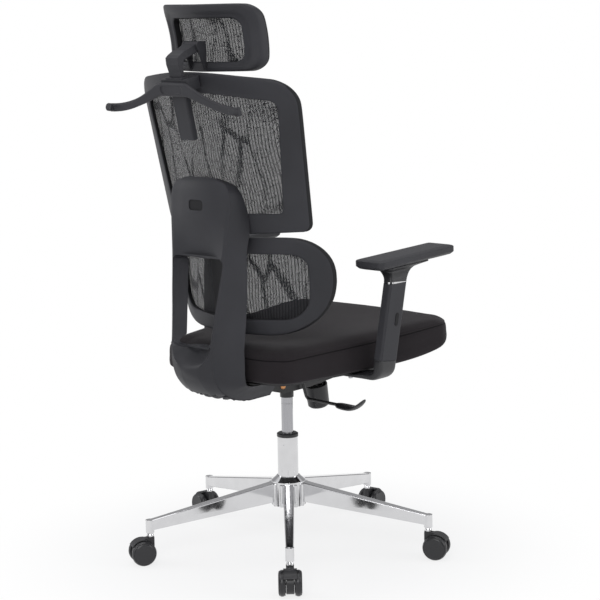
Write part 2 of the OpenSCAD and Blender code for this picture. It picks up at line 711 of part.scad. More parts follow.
button_z = 98;
button_w = 12;
button_h = 30;
button_y = -9;
sleeve_wall = arm_t / 2 - post_half[0] - near;
module arm_sleeve() {
    r = 6;
    color(black) on_column() difference() {
        translate([0, 0, near]) slab(arm_t, arm_d, sleeve_h + 6, r);
        translate([0, 0, sleeve_h + near]) rotate([-arm_lean_fwd, 0, 0]) translate([-60, -60, 0]) cube([120, 120, 60]);
        translate([0, 0, -1]) slab(2 * (post_half[0] + near), 2 * (post_half[1] + near), sleeve_h - 8, 3);
        translate([-arm_t / 2 + sleeve_wall / 2, button_y, button_z]) rotate([90, 0, 90])
            translate([0, 0, -sleeve_wall]) slab(button_w, button_h, 2 * sleeve_wall, 5);
        // shallow parting groove down the rear face
        translate([-arm_t / 2, arm_d / 2 - 4.5, -1]) rotate([0, 0, 45]) translate([-0.5, -0.5, 0]) cube([1, 1, sleeve_h + 4]);
    }
}

module arm_button() {
    color(dark) on_column() translate([-arm_t / 2 - 0.8, button_y, button_z]) rotate([90, 0, 90])
        slab(button_w - 2 * near, button_h - 2 * near, 3.2, 4.7);
}

// Tapering inlay strip and round stud let into the outer side of the neck, just above the sleeve; grown by g
module inlay(g = 0) {
    rear_y = arm_d / 2 - 12;
    front_y = -arm_d / 2 + 2;
    out = arm_t / 2 + 0.3 + 2 * g;
    on_column() translate([0, 0, sleeve_h + near]) rotate([-arm_lean_fwd, 0, 0]) {
        translate([-out, 0, 0]) rotate([90, 0, 90]) linear_extrude(3.3 + 3 * g) offset(delta = g) polygon([
            [rear_y, near + 0.2], [rear_y + 1, ring_h / 2 + 1], [rear_y, ring_h + 1.2], [front_y, 1.6], [front_y, near + 0.2]]);
        translate([-out, arm_d / 2 - 7.5, 3]) rotate([0, 90, 0]) cylinder(r = 2.4 + g, h = 3.3 + 3 * g, $fn = 32);
    }
}

module arm_ring() {
    color(chrome) inlay();
}

pad_y = -116;                                       // middle of the pad
pad_z = 260;                                        // underside of the pad above pan_z, at its middle
pad_climb = 2;                                      // the pad climbs this many degrees to the front
module on_pad() {
    top = from_column([0, 0, sleeve_h]);
    translate([top[0] + 12, pad_y, pan_z + pad_z]) rotate([-pad_climb, 0, 0]) children();
}

function pad_ring(w, l, z) = [for (p = outline([[-w / 2, -l / 2, 16], [w / 2, -l / 2, 16], [w / 2, l / 2, 14],
    [-w / 2, l / 2, 14]], 6)) [p[0], p[1], z]];

module arm_neck() {
    low_z = sleeve_h + 2 * near;
    plate_l = 168;
    low = [for (p = rounded_rect(arm_t, arm_d, 6, 6)) from_column([p[0], p[1], low_z - p[1] * tan(arm_lean_fwd)])];
    mid = [for (p = rounded_rect(arm_t, arm_d, 6, 6)) from_column([p[0], p[1], low_z + 12 - p[1] * tan(arm_lean_fwd)])];
    top = from_column([0, 0, sleeve_h]);
    function plate(w, l, dy, dz) = [for (p = rounded_rect(w, l, 10, 6))
        [top[0] + 12 + p[0], pad_y + dy + p[1], pan_z + pad_z - near + dz + (p[1] + dy) * -tan(pad_climb)]];
    color(black) difference() {
        skin([low, mid, plate(34, 84, 38, -10), plate(46, 118, 26, -5), plate(52, plate_l - 24, 12, -3),
              plate(52, plate_l - 24, 12, 0)]);
        inlay(0.1);
    }
}

module arm_pad() {
    bevel = 9;
    color(dark) on_pad() skin([pad_ring(pad_w - 2 * bevel, pad_l - 2 * bevel, 0), pad_ring(pad_w - 8, pad_l - 8, 3),
        pad_ring(pad_w, pad_l, 10), pad_ring(pad_w, pad_l, pad_t - 7), pad_ring(pad_w - 5, pad_l - 5, pad_t - 2.5),
        pad_ring(pad_w - 16, pad_l - 16, pad_t), pad_ring(pad_w - 40, pad_l - 60, pad_t - 0.6)]);
}

module on_side(left) {
    mirror([left ? 1 : 0, 0, 0]) children();
}

// ================= back =================
// Heights here are above the back's datum; on_back() lifts them to the chair's frame.

back_z = pan_z + 10;                                // datum of the back's heights
module on_back() {
    translate([0, 0, back_z]) children();
}

back_foot = [229.64, 334];                          // rear face of the upper frame at its bottom centre, [y, z]
back_top = back_foot + [back_lean, 1] * back_h;     // and at its top centre
back_bow = 0.0015;
lumbar_mid = [207.5, 224];                          // rear face of the lumbar frame at its middle
lumbar_lean = 0.08;
lumbar_bow = 0.00172;
head_mid = back_top + [-48.5, 29];                  // rear face of the headrest where it is furthest forward
head_bow = 0.0025;
head_cup = 0.0024;

// Depth of each curved rear face at [x, z]
function back_face(p) = back_top[0] - back_lean * (back_top[1] - p[1]) - back_bow * p[0] * p[0];
function lumbar_face(p) = lumbar_mid[0] + lumbar_lean * (p[1] - lumbar_mid[1]) - lumbar_bow * p[0] * p[0];
function head_face(p) = head_mid[0] + head_cup * pow(p[1] - head_mid[1], 2) - head_bow * p[0] * p[0];
function face(kind, p) = kind == "back" ? back_face(p) : kind == "lumbar" ? lumbar_face(p) : head_face(p);

// Six-cornered outline, mirror-symmetric: top centre, top corner, bottom corner, bottom centre
function panel_outline(top_z, tc, bc, bottom_z, big = 900) =
    outline([[0, top_z, big], [tc[0], tc[1], tc[2]], [bc[0], bc[1], bc[2]], [0, bottom_z, big],
             [-bc[0], bc[1], bc[2]], [-tc[0], tc[1], tc[2]]], 6, 4);

back_bottom = back_top[1] - back_h;
back_outer = panel_outline(back_top[1], [back_half_w - 4, back_top[1] - 25, 58], [back_half_w - 25, back_bottom + 12, 20],
    back_bottom - 2);
back_inner = panel_outline(back_top[1] - 45, [back_half_w - 45, back_top[1] - 70, 20],
    [back_half_w - 73, back_bottom + 53, 14], back_bottom + 50);

lumbar_top = lumbar_mid[1] + lumbar_h / 2 - 8;
lumbar_bottom = lumbar_top - lumbar_h;
lumbar_outer = panel_outline(lumbar_top - 3, [lumbar_half_w, lumbar_top + 1, 80],
    [lumbar_half_w, lumbar_bottom, 128], lumbar_bottom - 4);
lumbar_inner = panel_outline(lumbar_top - 42, [lumbar_half_w - 44, lumbar_top - 39, 34],
    [lumbar_half_w - 46, lumbar_bottom + 38, 58], lumbar_bottom + 31);

head_top = head_mid[1] + 114;
head_bottom = head_top - head_h;
head_outer = panel_outline(head_top, [head_half_w, head_top + 1, 30], [head_half_w - 3, head_bottom + 2, 32], head_bottom);
head_inner = panel_outline(head_top - 32, [head_half_w - 39, head_top - 31, 20], [head_half_w - 41, head_bottom + 24, 18],
    head_bottom + 22);

// Band between two outlines, following a curved face. section: [share of the way in, depth behind the face]
module band(kind, outer, inner, section) {
    skin([for (i = [len(outer) - 1 : -1 : 0]) [for (s = section)
        let (p = mix(outer[i], inner[i], s[0])) [p[0], face(kind, p) + s[1], p[1]]]], loop = true);
}

// Mesh stretched over the front of a band of depth t and on across its opening
module stretched(kind, outer, inner, t) {
    mid = [0, (inner[0][1] + inner[round(len(inner) / 2)][1]) / 2];
    rings = concat([[for (i = [0 : len(outer) - 1]) mix(outer[i], inner[i], 0.06)]], [inner],
        [for (s = [0.34, 0.67]) [for (p = inner) mix(p, mid, s)]]);
    n = len(rings);
    k = len(inner);
    rear = -t - near;
    function layer(r, d) = [for (i = [k - 1 : -1 : 0]) [r[i][0], face(kind, r[i]) + d, r[i][1]]];
    // the small last ring is round and level, so that it closes flat
    function middle(d) = [for (i = [k - 1 : -1 : 0]) let (p = mid + 14 * unit(inner[i] - mid))
        [p[0], face(kind, mid) + d, p[1]]];
    skin(concat([middle(rear)], [for (i = [n - 1 : -1 : 0]) layer(rings[i], rear)],
        [for (r = rings) layer(r, rear - mesh_t)], [middle(rear - mesh_t)]));
}

function band_section(t) = [[0, -t + 3], [0, -3.5], [0.07, 0], [0.9, 0], [1, -3], [1, -t + 3], [0.95, -t], [0.05, -t]];

module back_frame() {
    color(black) on_back() band("back", back_outer, back_inner, band_section(back_frame_t));
}

module back_mesh() {
    color(mesh_grey) on_back() stretched("back", back_outer, back_inner, back_frame_t);
}

module lumbar_frame() {
    color(black) on_back() band("lumbar", lumbar_outer, lumbar_inner, band_section(lumbar_frame_t));
}

module lumbar_mesh() {
    color(mesh_grey) on_back() stretched("lumbar", lumbar_outer, lumbar_inner, lumbar_frame_t);
}

// ---- spine ----
// Each row is one cross-section: its rear corner [y, z, half-width], its front edge [y, z, half-width],
// the depth of the rear plate's middle in front of the corners, and its lip [half-width, depth].
seat_clear = 264;                                   // front of the spine's limbs beside the cushion's rear
function on_band(x, z) = [back_face([x, z]) + 1.2, z, x];
spine_rows = [
    [[276, 468, 42], [251, 461, 45], -3, [36, -1]],
    [[279, 461, 68], [247, 453, 71], -7, [60, -1.5]],
    [[281, 448, 84], [244, 438, 88], -11, [77, -1.5]],
    [[282, 426, 92], [239, 418, 96], -14, [85, -1.5]],
    [[282, 402, 93.5], [233, 398, 97], -15, [87, -1.5]],
    [[284, 384, 92.5], on_band(98, 378), -13, [86, -1.5]],
    [[288, 342, 88.5], on_band(98, 346), -2, [82, -1.5]],
    [[293, 297, 83.5], [232, 296, 97], 14, [77, -1.5]],
    [[298, 254, 80], [233, 253, 97], 20, [74, -1.5]],
    [[303, 217, 77], [236, 216, 98], 22, [71, -1.5]],
    [[311, 159, 71], [244, 158, 101], 26, [66, -1.5]],
    [[318, 106, 67], [seat_clear - 10, 106, 107], 30, [62, -1.5]],
    [[323, 74, 64.5], [seat_clear - 1, 76, 110], 24, [58, -2]],
    [[324, 56, 63.5], [seat_clear, 60, 111.5], 6, [48, -7]],
    [[322, 38, 63], [seat_clear, 44, 112], -13, [28, -12]],
    [[313, 9, 62], [seat_clear, 20, 112], -12, [28, -11]],
    [[296, -14, 61], [seat_clear - 5, 0, 111], -10, [28, -9]],
    [[272, -34, 60], [seat_clear - 24, -8, 108], -6, [28, -5]],
    [[244, -47, 60], [seat_clear - 42, -11, 103], -3, [28, -2]],
    [[205, -55, 60], [200, -14, 95], -1.6, [30, -1]],
    [[160, -56, 59], [160, -17, 85], -1.4, [30, -0.8]],
    [[spine_foot_y, -56, 58], [spine_foot_y, -20, 78], -1.2, [30, -0.7]]];

// Cross-section of a row as a loop of points; a filled row closes the hollow at the top
function spine_section(row, filled) =
    let (c = row[0], e = row[1], d = norm([e[0] - c[0], e[1] - c[1]]), n = [e[0] - c[0], e[1] - c[1]] / d,
         w = spine_wall, dc = row[2], lip = row[3], x = c[2], f = e[2], inner = filled ? d - 1 - dc : w,
         outer = [[0, dc], [lip[0] * 0.5, mix(dc, lip[1], 0.28)], [lip[0] * 0.82, mix(dc, lip[1], 0.75)], lip,
                  [x - 1.5, 0.3], [x + 0.3, 3], [mix(x, f, 0.5) + 2, d * 0.5], [f, d]],
         inside = [[f - w, d], [mix(x, f, 0.5) + 1 - w, d * 0.55], [x - w - 1, max(w + 1, min(d - 2, inner + lip[1]))],
                   [lip[0] * 0.9 - w * 0.4, inner + max(lip[1], mix(dc, lip[1], 0.85)) + 0.5],
                   [lip[0] * 0.5, inner + mix(dc, lip[1], 0.28)], [0, inner + dc]],
         half = concat(outer, inside))
    [for (p = concat(half, [for (i = [len(half) - 2 : -1 : 1]) [-half[i][0], half[i][1]]]))
        [p[0], c[0] + n[0] * p[1], c[1] + n[1] * p[1]]];

window_top = 287;
window_bottom = 82;
carrier_half_w = 29;
boss_z = [350, 376];
boss_x = 17;
carrier_t = 9;                                      // thickness of the carrier behind the lumbar frame
carrier_rear = 16;                                  // carrier's rear face behind the upper frame's rear face
module spine() {
    color(black) on_back() difference() {
        union() {
            skin([for (i = [0 : len(spine_rows) - 1]) spine_section(spine_rows[i], i < 2)]);
            // bosses that carry the back panels, and a cross rib inside the hollow
            for (x = [-1, 1], z = boss_z) {
                y = back_face([0, z + 7]) + carrier_rear + near;
                translate([x * boss_x, y, z]) rotate([-90, 0, 0]) cylinder(r = 7, h = 290 - y);
            }
            // longitudinal ribs under the foot
            for (x = [-45, -15, 15, 45]) translate([x - 2, spine_foot_y + 4, -56 - 3]) cube([4, 90, 6]);
        }
        // the window between the two limbs
        translate([0, 400, 0]) rotate([90, 0, 0]) linear_extrude(300) polygon(outline([
            [-76, window_top, 14], [76, window_top, 14], [56, window_bottom, 24], [-56, window_bottom, 24]], 6));
        // plain oblong dimple in the rear plate
        translate([0, 297.5, 406]) rotate([-88, 0, 0]) slab(36, 22, 12, 7);
        for (x = [-1, 1], y = bracket_bolt_y) translate([x * bracket_bolt_x, y, -80]) cylinder(r = bolt_r + run, h = 60);
        for (x = [-1, 1], z = boss_z) translate([x * boss_x, 200, z]) rotate([-90, 0, 0]) cylinder(r = 2.5, h = 80);
    }
}

// Upright bar behind the lumbar frame, clamped between the upper frame and the spine's bosses
module back_carrier() {
    top_z = boss_z[1] + 12;
    step_z = back_bottom - 4;
    foot_z = lumbar_bottom + 2;
    function front(z) = z > step_z ? back_face([0, z]) + near : lumbar_face([0, z]) + near;
    color(black) on_back() difference() {
        across(2 * carrier_half_w) polygon(concat(
            [[front(foot_z), foot_z], [front(step_z), step_z], [front(step_z + 1), step_z + 1], [front(top_z), top_z]],
            [[back_face([0, top_z]) + carrier_rear, top_z],
             [back_face([0, back_bottom + 14]) + carrier_rear, back_bottom + 14],
             [front(lumbar_top - 12) + carrier_t, lumbar_top - 12], [front(foot_z) + carrier_t, foot_z]]));
        for (x = [-1, 1], z = boss_z) translate([x * boss_x, 180, z]) rotate([-90, 0, 0]) cylinder(r = 2.5 + run, h = 100);
        for (x = [-1, 1], z = lumbar_screw_z) translate([x * boss_x, 150, z]) rotate([-90, 0, 0])
            cylinder(r = 2 + run, h = 100);
    }
}

lumbar_screw_z = [lumbar_bottom + 14, lumbar_top - 22];
// Screws that hold the carrier to the lumbar frame, and bolts that hold the spine's foot to its bracket
module back_screws() {
    color(steel) {
        for (x = [-1, 1], y = bracket_bolt_y) translate([x * bracket_bolt_x, y, spine_floor_z]) {
            translate([0, 0, -5.5]) cylinder(r = 5.5, h = 4, $fn = 6);
            translate([0, 0, -5]) cylinder(r = bolt_r, h = 5 + bracket_z - spine_floor_z + bracket_t + 4);
            translate([0, 0, bracket_z - spine_floor_z + bracket_t + near]) cylinder(r = 5.5, h = 4, $fn = 6);
        }
    }
    color(steel) on_back() {
        for (x = [-1, 1], z = lumbar_screw_z) {
            y = lumbar_face([0, z]) + near;
            translate([x * boss_x, y + carrier_t + near, z]) rotate([-90, 0, 0]) cylinder(r = 4, h = 3);
            translate([x * boss_x, y, z]) rotate([-90, 0, 0]) cylinder(r = 2, h = carrier_t + 2);
        }
    }
}

// ---- headrest ----
post_at = back_top + [21, -31];                     // middle of the post's section in its socket, [y, z]
lean_deg = atan(back_lean);
module on_post() {
    translate([0, post_at[0], post_at[1] + back_z]) rotate([-lean_deg, 0, 0]) children();
}

block_h = 28;
block_half_w = 42;
block_rear = 15;                                    // block's rear face behind the post's middle
module headrest_socket() {
    guide_w = post_w + 6;
    channel = [post_w + 2 * near, post_t + 2 * near];
    band_front = (back_face([0, post_at[1]]) + near - post_at[0]) * cos(lean_deg);   // face on the upper frame
    color(black) on_post() difference() {
        union() {
            translate([0, (band_front + block_rear) / 2, -block_h / 2]) slab(2 * block_half_w, block_rear - band_front, block_h, 5);
            translate([0, 0.5, -127]) slab(guide_w, post_t + 5, 127, 2);
            translate([0, 1, block_h / 2 - 0.5]) slab(post_w + 16, post_t + 14, 3.5, 3);
        }
        translate([0, 0, -120]) slab(channel[0], channel[1], 200, 0.5);
        // shallow grooves down both edges of the guide's rear face
        for (s = [-1, 1]) translate([s * (guide_w / 2 - 2.6) - 0.5, (post_t + 5) / 2 - 0.2, -124])
            cube([1, 4, 124 - block_h / 2 - 3]);
    }
}

// Bar that narrows and droops towards both upturned tips
module coat_hanger() {
    t = 11;
    steps = 28;
    function droop(x) = let (u = max(0, min(1, (abs(x) - 42) / (hanger_half_l - 42)))) -49 * sin(90 * u) * (1 - 0.08 * u) + 2 * u * u;
    function half_h(x) = mix(15.5, 9.5, pow(max(0, min(1, (abs(x) - 40) / 70)), 0.8));
    function back_of(x) = block_rear + near + t / 2 + 10 * pow(abs(x) / hanger_half_l, 2);
    color(black) on_post() difference() {
        union() {
            skin([for (i = [0 : steps]) let (x = mix(-hanger_half_l, hanger_half_l, i / steps))
                [for (p = rounded_rect(t, 2 * half_h(x), 4, 3)) [x, back_of(x) + p[0], -6 + droop(x) + p[1]]]]);
            // upturned tips
            for (s = [-1, 1]) translate([s * (hanger_half_l - 9), back_of(hanger_half_l), -6 + droop(hanger_half_l)])
                rotate([-70, 0, 0]) cylinder(r = 9, h = 17, $fn = 32);
        }
        translate([0, back_of(0) + t / 2 - 1.5, -6]) rotate([-90, 0, 0]) slab(66, 19, 4, 8);
    }
}

hinge_at = back_top + [-26, 52];                    // axis that the headrest tilts on, [y, z]
hinge_pin_r = 4;
ear_gap = post_w / 2 + near;
module headrest_post() {
    function on_line(t, d) = [post_at[0] + t * sin(lean_deg) + d * cos(lean_deg),
                              post_at[1] + t * cos(lean_deg) - d * sin(lean_deg)];
    side = concat([on_line(-98, -post_t / 2), on_line(-98, post_t / 2), on_line(28, post_t / 2)],
        [for (p = [[39, 12], [41, 27], [34, 33], [20, 41], [0, 48], [-14, 55], [-26, 61], [-34, 56],
                   [-35, 47], [-28, 40], [-12, 35], [8, 28], [22, 21], [26, 12]]) back_top + p],
        [on_line(28, -post_t / 2)]);
    color(black) difference() {
        union() {
            on_back() across(post_w) polygon(side);
            on_back() translate([0, hinge_at[0], hinge_at[1]]) rotate([0, 90, 0]) translate([0, 0, -post_w / 2])
                cylinder(r = 10, h = post_w);
        }
        on_back() translate([0, hinge_at[0], hinge_at[1]]) rotate([0, 90, 0]) translate([0, 0, -50])
            cylinder(r = hinge_pin_r + run, h = 100);
    }
}

// Ears, pin and foot plate behind the headrest
module headrest_hinge() {
    ear_t = 4.5;
    foot_y = head_face([0, head_bottom + 12]) + 2.4;
    color(black) on_back() {
        for (s = [-1, 1]) translate([s * (ear_gap + ear_t / 2), 0, 0]) across(ear_t) {
            translate([hinge_at[0], hinge_at[1]]) circle(r = 11);
            polygon([[hinge_at[0], hinge_at[1] + 11], [foot_y + 2, hinge_at[1] + 10], [foot_y, hinge_at[1] - 4],
                     [foot_y, head_bottom + 2], [foot_y + 5, head_bottom + 6], [hinge_at[0] + 6, hinge_at[1] - 9]]);
        }
        translate([0, hinge_at[0], hinge_at[1]]) rotate([0, 90, 0]) translate([0, 0, -ear_gap - 1])
            cylinder(r = hinge_pin_r, h = 2 * ear_gap + 2);
        translate([-ear_gap - ear_t, foot_y, head_bottom + 2]) cube([2 * (ear_gap + ear_t), 4, 20]);
    }
}

module headrest_frame() {
    color(black) on_back() band("head", head_outer, head_inner,
        [[0, 4 - head_frame_t], [0, -5], [0.1, 0.5], [0.5, 2], [0.7, -4], [0.92, -5], [1, -8],
         [1, 2 - head_frame_t], [0.9, -head_frame_t], [0.06, -head_frame_t]]);
}

module headrest_mesh() {
    color(mesh_grey) on_back() stretched("head", head_outer, head_inner, head_frame_t);
}

// ================= assembly =================

base_star();
lift_tube();
lift_collar();
thrust_bearing();
lift_rod();
lift_cylinder();
release_pin();
for (k = [1 : leg_count]) {
    caster_stem(k - 1);
    caster_hood(k - 1);
    caster_wheels(k - 1);
}
mech_housing();
recline_bracket();
back_pivot();
tension_bolt();
tension_spring();
tension_knob();
lever_rod();
lever_handle();
seat_pan();
seat_cushion();
mount_bolts();
for (left = [false, true]) {
    side = left ? "left" : "right";
    on_side(left) arm_bracket();
    on_side(left) arm_post();
    on_side(left) arm_sleeve();
    on_side(left) arm_button();
    on_side(left) arm_ring();
    on_side(left) arm_neck();
    on_side(left) arm_pad();
}
spine();
back_carrier();
back_frame();
back_mesh();
lumbar_frame();
lumbar_mesh();
back_screws();
headrest_socket();
coat_hanger();
headrest_post();
headrest_hinge();
headrest_frame();
headrest_mesh();
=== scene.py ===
import json
import math

import bmesh
import bpy
import numpy as np
from mathutils import Matrix, Vector
from mathutils.bvhtree import BVHTree

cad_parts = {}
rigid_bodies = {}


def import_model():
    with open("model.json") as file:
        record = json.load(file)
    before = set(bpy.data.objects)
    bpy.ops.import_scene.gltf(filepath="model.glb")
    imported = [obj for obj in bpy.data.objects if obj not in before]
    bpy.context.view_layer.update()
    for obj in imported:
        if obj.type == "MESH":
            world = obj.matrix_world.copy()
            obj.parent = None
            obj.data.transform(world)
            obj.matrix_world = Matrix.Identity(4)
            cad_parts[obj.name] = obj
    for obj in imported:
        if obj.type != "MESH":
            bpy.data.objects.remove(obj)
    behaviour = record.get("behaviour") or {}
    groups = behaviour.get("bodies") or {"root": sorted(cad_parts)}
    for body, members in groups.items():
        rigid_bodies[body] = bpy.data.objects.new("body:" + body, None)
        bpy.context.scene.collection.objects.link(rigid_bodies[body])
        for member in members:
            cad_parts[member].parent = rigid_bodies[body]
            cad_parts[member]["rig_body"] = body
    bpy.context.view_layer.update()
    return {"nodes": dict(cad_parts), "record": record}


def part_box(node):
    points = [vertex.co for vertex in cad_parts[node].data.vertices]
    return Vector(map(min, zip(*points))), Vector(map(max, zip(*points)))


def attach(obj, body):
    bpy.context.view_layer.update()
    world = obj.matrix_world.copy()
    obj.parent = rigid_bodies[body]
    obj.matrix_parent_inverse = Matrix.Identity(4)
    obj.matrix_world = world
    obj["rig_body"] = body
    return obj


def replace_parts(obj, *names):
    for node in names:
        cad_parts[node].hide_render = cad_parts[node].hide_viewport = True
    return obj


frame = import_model()
nodes = frame["nodes"]
scene = bpy.context.scene


# ---------------------------------------------------------------- camera, light and floor

SENSOR, LENS = 36.0, 106.305                     # sensor width and focal length in millimetres
FLOOR_HALF = 30


def make_camera():
    data = bpy.data.cameras.new("camera")
    data.sensor_width = SENSOR
    data.lens = LENS
    data.clip_end = 60
    cam = bpy.data.objects.new("camera", data)
    scene.collection.objects.link(cam)
    azimuth, distance, height = 3.87463, 4.20241, 1.31233
    pitch, roll, yaw = 0.164581, -0.0170187, -0.00854371
    place = Vector((math.sin(azimuth) * distance, -math.cos(azimuth) * distance, height))
    level = Vector((-math.sin(azimuth + yaw), math.cos(azimuth + yaw), 0))
    forward = (level * math.cos(pitch) - Vector((0, 0, math.sin(pitch)))).normalized()
    right = forward.cross(Vector((0, 0, 1))).normalized()
    up = right.cross(forward)
    turned_right = right * math.cos(roll) + up * math.sin(roll)
    turned_up = up * math.cos(roll) - right * math.sin(roll)
    cam.matrix_world = Matrix((
        (turned_right.x, turned_up.x, -forward.x, place.x),
        (turned_right.y, turned_up.y, -forward.y, place.y),
        (turned_right.z, turned_up.z, -forward.z, place.z),
        (0, 0, 0, 1)))
    scene.camera = cam


def softbox(name, place, target, size, power):
    data = bpy.data.lights.new(name, "AREA")
    data.shape = "RECTANGLE"
    data.size, data.size_y = size
    data.energy = power
    lamp = bpy.data.objects.new(name, data)
    scene.collection.objects.link(lamp)
    lamp.location = place
    lamp.rotation_mode = "QUATERNION"
    lamp.rotation_quaternion = (Vector(target) - Vector(place)).to_track_quat("-Z", "Y")
    lamp.visible_camera = False


def put(tree, kind, settings=None, **inputs):
    """One shader node; an input's value is a number, a colour or another node's output."""
    n = tree.nodes.new(kind)
    for key, value in (settings or {}).items():
        setattr(n, key, value)
    for key, value in inputs.items():
        socket = n.inputs[int(key[1:])] if key[1:].isdigit() else n.inputs[key.replace("_", " ")]
        if isinstance(value, bpy.types.NodeSocket):
            tree.links.new(value, socket)
        else:
            socket.default_value = value
    return n


def seen_by_eye_or_gloss(tree):
    """1 for rays from the camera and for rays off or through shiny things."""
    path = put(tree, "ShaderNodeLightPath")
    shiny = put(tree, "ShaderNodeMath", {"operation": "MAXIMUM"}, i0=path.outputs["Is Glossy Ray"],
                i1=path.outputs["Is Transmission Ray"])
    return put(tree, "ShaderNodeMath", {"operation": "MAXIMUM"}, i0=path.outputs["Is Camera Ray"],
               i1=shiny.outputs[0]).outputs[0]


def make_world():
    world = bpy.data.worlds.new("studio")
    world.use_nodes = True
    scene.world = world
    tree = world.node_tree
    tree.nodes.clear()
    soft = put(tree, "ShaderNodeBackground", Color=(0.93, 0.95, 1.0, 1), Strength=0.42)
    white = put(tree, "ShaderNodeBackground", Color=(1, 1, 1, 1), Strength=1.0)
    # shiny things see the white backdrop low down, dimmer walls above it and a bright ceiling
    view = put(tree, "ShaderNodeTexCoord").outputs["Generated"]
    up = put(tree, "ShaderNodeSeparateXYZ", Vector=view).outputs["Z"]
    walls = put(tree, "ShaderNodeValToRGB", Fac=up)
    for place, level in ((0.04, 1.0), (0.12, 0.42), (0.5, 0.36), (0.75, 0.9)):
        stop = walls.color_ramp.elements.new(place)
        stop.color = (level, level, level * 1.02, 1)
    walls.color_ramp.elements.remove(walls.color_ramp.elements[0])
    walls.color_ramp.elements.remove(walls.color_ramp.elements[-1])
    studio = put(tree, "ShaderNodeBackground", Color=walls.outputs["Color"], Strength=1.0)
    path = put(tree, "ShaderNodeLightPath")
    backdrop = put(tree, "ShaderNodeMixShader", i0=path.outputs["Is Camera Ray"], i1=studio.outputs[0],
                   i2=white.outputs[0])
    mixed = put(tree, "ShaderNodeMixShader", i0=seen_by_eye_or_gloss(tree), i1=soft.outputs[0],
                i2=backdrop.outputs[0])
    put(tree, "ShaderNodeOutputWorld", Surface=mixed.outputs[0])


def make_floor():
    mesh = bpy.data.meshes.new("floor")
    corners = [(x * FLOOR_HALF, y * FLOOR_HALF, 0) for x, y in ((-1, -1), (1, -1), (1, 1), (-1, 1))]
    mesh.from_pydata(corners, [], [(0, 1, 2, 3)])
    floor = bpy.data.objects.new("floor", mesh)
    scene.collection.objects.link(floor)
    material = bpy.data.materials.new("pale_floor")
    material.use_nodes = True
    tree = material.node_tree
    tree.nodes.clear()
    matte = put(tree, "ShaderNodeBsdfDiffuse", Color=(0.9, 0.9, 0.91, 1))
    glow = put(tree, "ShaderNodeEmission", Color=(1, 1, 1, 1), Strength=1.0)
    place = put(tree, "ShaderNodeTexCoord").outputs["Object"]
    away = put(tree, "ShaderNodeVectorMath", {"operation": "LENGTH"}, i0=place).outputs["Value"]
    share = put(tree, "ShaderNodeMapRange", {"interpolation_type": "SMOOTHSTEP"}, Value=away)
    for key, value in (("From Min", 0.3), ("From Max", 0.8), ("To Min", 0.78), ("To Max", 1.0)):
        share.inputs[key].default_value = value
    lit = put(tree, "ShaderNodeMixShader", i0=share.outputs["Result"], i1=matte.outputs[0],
              i2=glow.outputs[0])
    mixed = put(tree, "ShaderNodeMixShader", i0=seen_by_eye_or_gloss(tree), i1=matte.outputs[0],
                i2=lit.outputs[0])
    put(tree, "ShaderNodeOutputMaterial", Surface=mixed.outputs[0])
    mesh.materials.append(material)


make_camera()
make_world()
make_floor()
softbox("key", (-2.3, 3.4, 2.5), (0, 0, 0.8), (2.0, 1.8), 62)
softbox("side", (3.6, 2.2, 2.2), (0, 0, 0.8), (1.6, 2.0), 40)
softbox("fill", (-3.6, -2.2, 2.0), (0, 0, 0.7), (1.8, 2.2), 40)
softbox("top", (0.2, 0.2, 3.6), (0, 0, 0.5), (2.6, 2.6), 30)
scene.view_settings.view_transform = "Standard"


# ---------------------------------------------------------------- materials

def new_material(name):
    material = bpy.data.materials.new(name)
    material.use_nodes = True
    tree = material.node_tree
    return material, tree, tree.nodes["Principled BSDF"]


def place_of(tree):
    return put(tree, "ShaderNodeTexCoord").outputs["Object"]


def noise(tree, place, scale, detail=2.0, rough=0.5):
    n = put(tree, "ShaderNodeTexNoise", Vector=place, Scale=scale, Detail=detail, Roughness=rough)
    return n.outputs["Fac"]


def spread(tree, value, low, high, start=0.3, end=0.7):
    """Maps start..end of a value to low..high."""
    n = put(tree, "ShaderNodeMapRange", Value=value)
    for key, v in (("From Min", start), ("From Max", end), ("To Min", low), ("To Max", high)):
        n.inputs[key].default_value = v
    return n.outputs["Result"]


def blend_colours(tree, factor, a, b):
    n = put(tree, "ShaderNodeMix", {"data_type": "RGBA"})
    tree.links.new(factor, n.inputs["Factor"])
    for socket, value in ((n.inputs[6], a), (n.inputs[7], b)):
        if isinstance(value, bpy.types.NodeSocket):
            tree.links.new(value, socket)
        else:
            socket.default_value = (*value, 1)
    return n.outputs[2]


def moulded(name, colour, rough=0.5, grain=0.25, edge=0.0012, scale=900.0, level=0.5):
    """Injection-moulded plastic: fine spark-eroded grain, faint flow marks, softened edges."""
    material, tree, shader = new_material(name)
    place = place_of(tree)
    flow = noise(tree, place, 7.0, 3.0)
    fine = noise(tree, place, scale, 1.0)
    dark = tuple(c * 0.86 for c in colour)
    light = tuple(min(1, c * 1.14) for c in colour)
    tree.links.new(blend_colours(tree, spread(tree, flow, 0, 1), dark, light), shader.inputs["Base Color"])
    tree.links.new(spread(tree, flow, rough - 0.04, rough + 0.04), shader.inputs["Roughness"])
    edged = put(tree, "ShaderNodeBevel", {"samples": 4}, Radius=edge)
    bump = put(tree, "ShaderNodeBump", Strength=grain, Distance=0.0003, Height=fine, Normal=edged.outputs[0])
    tree.links.new(bump.outputs[0], shader.inputs["Normal"])
    shader.inputs["Specular IOR Level"].default_value = level
    return material


